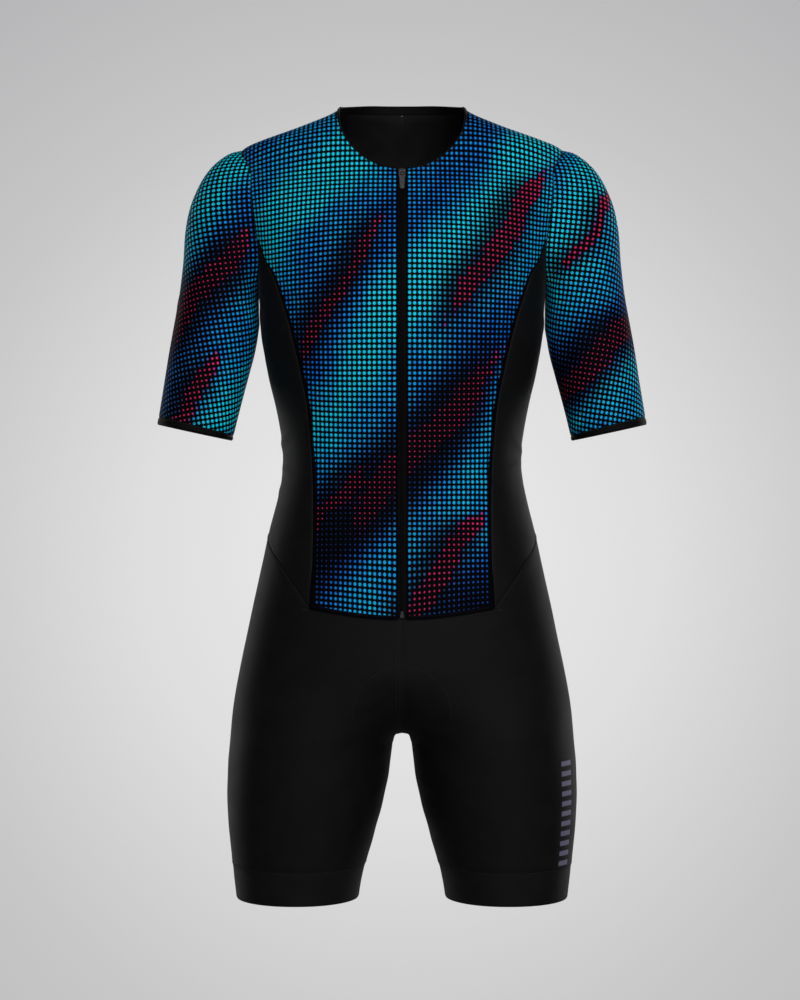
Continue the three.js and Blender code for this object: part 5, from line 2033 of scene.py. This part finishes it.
@dataclass
class Stitching:
    """Threads and seam ridges, laid on the cloth as short lengths or one line."""

    materials: Materials
    splines: list[Grid] = field(default_factory=list)
    tape_depth: float = 0.85
    tape_radius: float = 0.6
    ridge_radius: float = 0.55
    beside_zip: float = 5.2
    row_offsets: tuple[float, float] = (1.6, 3.4)
    cuff_rows: tuple[float, float] = (7.2, 8.9)
    gripper_rows: tuple[float, float] = (1.9, -2.2)
    pad_offsets: tuple[float, ...] = (0.0, 1.5, 3.0)
    centre_rows: tuple[float, ...] = (2.6, -2.6, -6.2)
    tack_from: float = 101.5
    tack_to: float = 107.5
    tack_z: float = -554.5
    pad_outline: tuple[tuple[float, float], ...] = (
        (0, -612.6), (13.4, -614.8), (22.4, -618.2), (29.1, -623.8), (38.1, -629.4),
        (42.6, -637.3), (48.2, -645.1), (51.5, -659.7), (50.4, -673.2))

    def run(self, path: Grid, length: float, gap: float) -> None:
        """Adds a row of stitches.

        Args:
            path: The line in millimetres, already on the cloth's face.
            length: How long one stitch is.
            gap: The distance to the next one.
        """
        run = np.concatenate([[0], np.cumsum(np.linalg.norm(np.diff(path, axis=0), axis=1))])

        def at(place: float) -> Grid:
            """The point at a distance along the line."""
            return np.array([np.interp(place, run, path[:, i]) for i in range(3)])

        start = 0.0
        while start + length < run[-1]:
            self.splines.append(np.array([at(start), at(start + length / 2), at(start + length)]))
            start += length + gap

    def piece(self, name: str, radius: float, material: bpy.types.Material,
              sides: int = 0) -> bpy.types.Object:
        """Makes one mesh piece from the lines gathered so far, and forgets them.

        Args:
            name: The piece's name.
            radius: The thread's radius in millimetres.
            material: Its finish.
            sides: The curve's bevel resolution.

        Returns:
            The piece.
        """
        curve = bpy.data.curves.new(name, "CURVE")
        curve.dimensions = "3D"
        curve.bevel_depth = radius * MM
        curve.bevel_resolution = sides
        curve.use_fill_caps = True
        for line in self.splines:
            spline = curve.splines.new("POLY")
            spline.points.add(len(line) - 1)
            flat = np.concatenate([line * MM, np.ones((len(line), 1))], 1)
            spline.points.foreach_set("co", flat.ravel())
        shaped = placed(f"{name}_line", curve)
        mesh = bpy.data.meshes.new_from_object(
            shaped.evaluated_get(bpy.context.evaluated_depsgraph_get()))
        bpy.data.objects.remove(shaped)
        shade(mesh)
        mesh.materials.clear()
        mesh.materials.append(material)
        self.splines = []
        return placed(name, mesh)

    @staticmethod
    def body_line(turn: Grid, z: Grid, out: float) -> Grid:
        """A line on the body's face, a little way off it."""
        return Stitching.off_surface(FORM.body_point, turn, z, out)

    @staticmethod
    def off_surface(surface: Callable[[Grid, Grid], Grid], turn: Grid, z: Grid,
                    out: float) -> Grid:
        """A line a little way off a surface of the form.

        Args:
            surface: The surface, by turn and height.
            turn: Degrees round it.
            z: Heights.
            out: How far off it.

        Returns:
            The points.
        """
        a = surface(turn + PROBE, z) - surface(turn - PROBE, z)
        b = surface(turn, z + PROBE) - surface(turn, z - PROBE)
        return surface(turn, z) + unit(np.cross(a, b)) * out

    @staticmethod
    def shorts_line(x: Grid, z: Grid, out: float) -> Grid:
        """A line on the front of the shorts.

        Args:
            x: The places' distances from the middle plane.
            z: Their heights.
            out: How far off the cloth's face.

        Returns:
            The points, on the body above the legs' start and on the leg below it.
        """
        x, z = np.broadcast_arrays(np.asarray(x, float), np.asarray(z, float))
        turn = root(lambda t: FORM.leg_point(t, z)[..., 0] - x, 0 * z, 0 * z + 90)
        under = Stitching.off_surface(FORM.leg_point, turn, z, out)
        over = Stitching.body_line(FORM.turn_at(x, z), z, out)
        return np.where((z > -LEG_BLEND_FROM)[..., None], over, under)

    def both(self, line: Grid) -> list[Grid]:
        """A line and its mirror image."""
        return [line, line * ACROSS]

    def ridges(self) -> bpy.types.Object:
        """The raised seam between top and shorts, round the hips and the back.

        Returns:
            The piece.
        """
        turn = np.linspace(FORM.corner_turn, 180, 120)
        line = self.body_line(turn, FORM.waist_seam(turn), 0.1)
        whole = np.concatenate([line, (line * ACROSS)[::-1][1:]])
        self.splines.append(whole)
        return self.piece("waist_seam_ridge", self.ridge_radius, self.materials.thread, 1)

    def seam_tapes(self) -> bpy.types.Object:
        """The joined edges behind every seam, which close it from inside.

        Returns:
            The piece.
        """
        v = np.linspace(0, 1, 90)
        depth = -self.tape_depth
        lines = [self.body_line(*FORM.front_seam(v), depth),
                 self.body_line(*FORM.back_seam(v), depth)]
        turn, z, _ = FORM.armhole(np.linspace(0, ARM_KNOTS, 120), 0)
        lines.append(self.body_line(turn, z, depth))
        lines.append(self.body_line(
            mix(SHOULDER_SEAM_TURN, turn[0], v),
            mix(float(FORM.neckline(SHOULDER_SEAM_TURN)), z[0], v), depth))
        numbers = np.linspace(0, ARM_KNOTS, 120)
        hem = 1 - (CUFF_DEPTH - SEAM / 2) / SLEEVE_LENGTH
        ring = FORM.sleeve_point(numbers, hem + 0 * numbers)
        lines.append(mix(ring, ring.mean(0), 0.02))
        turns = np.linspace(0, 360, 160)
        ring = FORM.leg_point(turns, GRIPPER_SEAM_Z + 0 * turns)
        lines.append(mix(ring, ring.mean(0), 0.012))
        for line in lines:
            self.splines.extend(self.both(line))
        turn = np.linspace(3, 357, 240)
        half = np.where(turn > 180, 360 - turn, turn)
        neck = self.body_line(half, FORM.neckline(half) + 0.15, -0.9)
        neck[:, 0] *= np.where(turn > 180, -1, 1)
        self.splines.append(neck)
        grid = Shorts(self.materials).leg_grid()
        for column in (grid[:, 0], grid[:, -1]):
            middle = column[column[:, 0] < 2 * SEAM] * np.array([0, 1, 1])
            ahead = np.gradient(middle, axis=0)
            inward = unit(np.stack([0 * ahead[:, 0], -ahead[:, 2], ahead[:, 1]], -1), 1e-6)
            centre = np.array([0, 5.0, -600.0])
            facing = np.sign(((centre - middle) * inward).sum(1, keepdims=True))
            self.splines.append(middle + inward * facing * 0.7)
        return self.piece("seam_tapes", self.tape_radius, self.materials.thread, 1)

    def zip_rows(self) -> bpy.types.Object:
        """The topstitching beside the zip.

        Returns:
            The piece.
        """
        z = np.linspace(-88, -558, 300)
        turn = FORM.turn_at(ZIP_HALF_GAP + self.beside_zip, z)
        lift = FORM.lift(z)[:, None] * np.array([0, -1, 0])
        for line in self.both(self.body_line(turn, z, 0.12) + lift):
            self.run(line, 2.3, 0.7)
        return self.piece("zip_topstitch", 0.17, self.materials.thread)

    def neck_rows(self) -> bpy.types.Object:
        """The coverstitch under the neck binding.

        Returns:
            The piece.
        """
        share = np.linspace(0, 1, 200)
        turn = mix(float(FORM.zip_turn(FORM.zip_top)) + 4, 180, share)
        point = FORM.body_point(turn, FORM.neckline(turn))
        ahead = np.gradient(point, axis=0)
        normal = self.body_line(turn, FORM.neckline(turn), 1.0) - point
        down = unit(np.cross(ahead, normal))
        side = np.sign((down * np.array([1, -1, -1])).sum(1, keepdims=True))
        behind = turn > 100
        for off in self.row_offsets:
            for line in self.both(point + down * side * off + normal * 0.05):
                self.run(line, 2.0, 0.8)
            inner = point + down * side * off - normal * 1.05
            for line in self.both(inner[behind]):
                self.run(line, 2.0, 0.8)
        return self.piece("neck_coverstitch", 0.16, self.materials.thread)

    def hem_rows(self) -> bpy.types.Object:
        """The stitching above the front's lower edge and round both sleeve and leg hems.

        Returns:
            The piece.
        """
        u = np.linspace(0.02, 0.98, 90)
        turn = mix(float(FORM.zip_turn(HEM_CENTRE_Z)), FORM.corner_turn, u)
        z = mix(HEM_CENTRE_Z, HEM_CORNER_Z, u * u) + 3.2
        for line in self.both(self.body_line(turn, z, HEM_LIFT + 0.5)):
            self.run(line, 2.2, 0.8)
        numbers = np.linspace(0, ARM_KNOTS, 160)
        for up in self.cuff_rows:
            along = 1 - up / SLEEVE_LENGTH
            for line in self.both(FORM.sleeve_point(numbers, along + 0 * numbers)):
                self.run(line, 2.0, 0.9)
        turns = np.linspace(0, 360, 220)
        for up in self.gripper_rows:
            for line in self.both(FORM.leg_point(turns, GRIPPER_SEAM_Z + up + 0 * turns)):
                self.run(line, 2.1, 0.9)
        return self.piece("hem_stitches", 0.17, self.materials.thread)

    def pad_rows(self) -> bpy.types.Object:
        """The rows of tiny stitches that outline the shorts' double layer at the crotch.

        Returns:
            The piece.
        """
        share = np.linspace(0, 1, 60)
        knots = np.linspace(0, 1, len(self.pad_outline))
        x, z = (np.interp(share, knots, values) for values in zip(*self.pad_outline))
        for off in self.pad_offsets:
            line = self.shorts_line(x + off * 0.7 + 0.3, z - off * 0.7, 0.12)
            for side in self.both(line):
                self.run(side, 0.9, 1.5)
        z = np.linspace(-566, FORM.crotch_z + 12, 120)
        for x_at in self.centre_rows:
            line = self.shorts_line(abs(x_at), z, 0.12)
            self.run(line * np.array([math.copysign(1, x_at), 1, 1]), 2.2, 0.8)
        return self.piece("shorts_stitches", 0.2, self.materials.pale_thread)

    def tacks(self) -> bpy.types.Object:
        """The small bar tacks at the front's two lower corners.

        Returns:
            The piece.
        """
        for side in (-1, 1):
            x = np.linspace(side * self.tack_from, side * self.tack_to, 5)
            for off in np.linspace(-1.1, 1.1, 5):
                z = np.full_like(x, self.tack_z + off)
                line = self.body_line(FORM.turn_at(np.abs(x), z), z, 0.5)
                self.splines.append(line * np.array([side, 1, 1]))
        return self.piece("bar_tacks", 0.3, self.materials.thread, 1)

    def build(self) -> list[bpy.types.Object]:
        """Makes every row of stitches."""
        return [self.seam_tapes(), self.ridges(), self.zip_rows(), self.neck_rows(),
                self.hem_rows(), self.pad_rows(), self.tacks()]


@dataclass
class Studio:
    """Camera, pale backdrop with a painted pool of light on it, and soft light."""

    lens: float = 51.43
    camera_at: tuple[float, float, float] = (-0.00224, -2.4, -0.4357)
    sweep_radius: float = 5.0
    sweep_bend: float = 1.6
    sweep_steps: int = 12
    floor: float = -2.3
    wall_top: float = 12.0
    # Painted pool of light on the backdrop: how far below the origin it is brightest, how far it
    # reaches, and its tones from bright to dim.
    painted_light_below: float = 0.62
    painted_light_reach: float = 3.2
    painted_light_stops: tuple = ((0.0, (0.84, 0.84, 0.84)), (0.28, (0.73, 0.73, 0.73)),
                   (0.5, (0.57, 0.57, 0.575)), (0.72, (0.47, 0.47, 0.48)),
                   (1.0, (0.4, 0.4, 0.41)))
    lamps: tuple = (("front_light", (0.6, -2.7, 0.7), (2.2, 1.8), 60),
                    ("low_light", (0.5, -2.6, -1.4), (2.0, 1.0), 12),
                    ("rim_left", (-1.45, 1.3, -0.25), (0.6, 2.2), 11),
                    ("rim_right", (1.45, 1.3, -0.25), (0.6, 2.2), 11),
                    ("back_light", (0.3, 2.6, 0.6), (2.0, 1.6), 40))
    sky: tuple[float, float, float] = (0.75, 0.77, 0.8)
    sky_strength: float = 0.22

    def camera(self) -> None:
        """Places the camera at the photograph's viewing angle."""
        data = bpy.data.cameras.new("camera")
        data.sensor_fit = "VERTICAL"
        data.sensor_height = 24
        data.lens = self.lens
        made = placed("camera", data)
        made.location = self.camera_at
        made.rotation_euler = (math.radians(90), 0, 0)
        bpy.context.scene.camera = made

    def backdrop(self) -> None:
        """Makes a round seamless sweep of floor and wall, pale, with a painted glow of light that
        is brightest 0.62 m below the origin and fades outwards.
        """
        bm = bmesh.new()
        flat, bend = self.sweep_radius - self.sweep_bend, self.sweep_bend
        profile = [bm.verts.new((0, 0, self.floor)), bm.verts.new((0, flat, self.floor))]
        for step in range(1, self.sweep_steps + 1):
            angle = math.pi / 2 * step / self.sweep_steps
            profile.append(bm.verts.new((
                0, flat + bend * math.sin(angle), self.floor + bend - bend * math.cos(angle))))
        profile.append(bm.verts.new((0, self.sweep_radius, self.wall_top)))
        edges = [bm.edges.new(pair) for pair in zip(profile, profile[1:])]
        bmesh.ops.spin(bm, geom=[*profile, *edges], cent=(0, 0, 0), axis=(0, 0, 1), dvec=(0, 0, 0),
                       angle=2 * math.pi, steps=72, use_merge=True, use_duplicate=False)
        bmesh.ops.remove_doubles(bm, verts=bm.verts, dist=1e-4)
        bmesh.ops.recalc_face_normals(bm, faces=bm.faces)
        bmesh.ops.reverse_faces(bm, faces=bm.faces)
        mesh = bpy.data.meshes.new("backdrop")
        bm.to_mesh(mesh)
        bm.free()
        shade(mesh)
        f = Finish("backdrop")
        # Painted glow: the backdrop emits its own light, brightest round a point below the suit's
        # middle and dimmer further out. It is hidden from diffuse and glossy rays and from shadows.
        place = f.node("ShaderNodeTexCoord", None, None, "Object")
        x, y, z = f.parts(place)
        side = x.math("ABSOLUTE").math("MINIMUM", y.math("ABSOLUTE"))
        up = z + self.painted_light_below
        away = (side * side + up * up).math("SQRT")
        tone = f.node("ShaderNodeValToRGB", {"stops": self.painted_light_stops}, {"Fac": away / self.painted_light_reach})
        f.set(Base_Color=(0, 0, 0, 1), Emission_Color=tone, Emission_Strength=1.0,
              Roughness=1.0, Specular_IOR_Level=0.0)
        mesh.materials.append(f.material)
        made = placed("backdrop", mesh)
        made.visible_diffuse = False
        made.visible_glossy = False
        made.visible_shadow = False

    def lamp(self, name: str, place: tuple[float, float, float], size: tuple[float, float],
             power: float, target: tuple[float, float, float] = (0, 0, -0.42)) -> None:
        """Adds a soft rectangular light that faces a point.

        Args:
            name: The light's name.
            place: Where it stands.
            size: Its width and height.
            power: Its power in watts.
            target: The point that it faces.
        """
        data = bpy.data.lights.new(name, "AREA")
        data.shape = "RECTANGLE"
        data.size, data.size_y = size
        data.energy = power
        made = placed(name, data)
        made.location = place
        made.rotation_euler = (Vector(target) - Vector(place)).to_track_quat("-Z", "Y").to_euler()

    def build(self) -> None:
        """Sets up the whole studio."""
        self.camera()
        self.backdrop()
        for lamp in self.lamps:
            self.lamp(*lamp)
        world = bpy.data.worlds.new("studio")
        world.use_nodes = True
        background = next(n for n in world.node_tree.nodes if n.type == "BACKGROUND")
        background.inputs["Color"].default_value = (*self.sky, 1)
        background.inputs["Strength"].default_value = self.sky_strength
        bpy.context.scene.world = world
        bpy.context.scene.view_settings.view_transform = "Standard"
        bpy.context.scene.view_settings.look = "None"


def main() -> None:
    """Builds the suit and its studio, and reports every piece."""
    logging.basicConfig(level=logging.INFO, format="%(message)s")
    Studio().build()
    materials = Materials()
    front_zip = Zip(materials)
    made = [
        *front_zip.build(), *Top(materials, front_zip.tapes).build(), *Sleeves(materials).build(),
        *Shorts(materials).build(), *Neck(materials).build(), *Stitching(materials).build(),
    ]
    for piece in made:
        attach(piece, "suit")
        LOG.info("%s: %d faces", piece.name, len(piece.data.polygons))


if __name__ == "__main__":
    main()
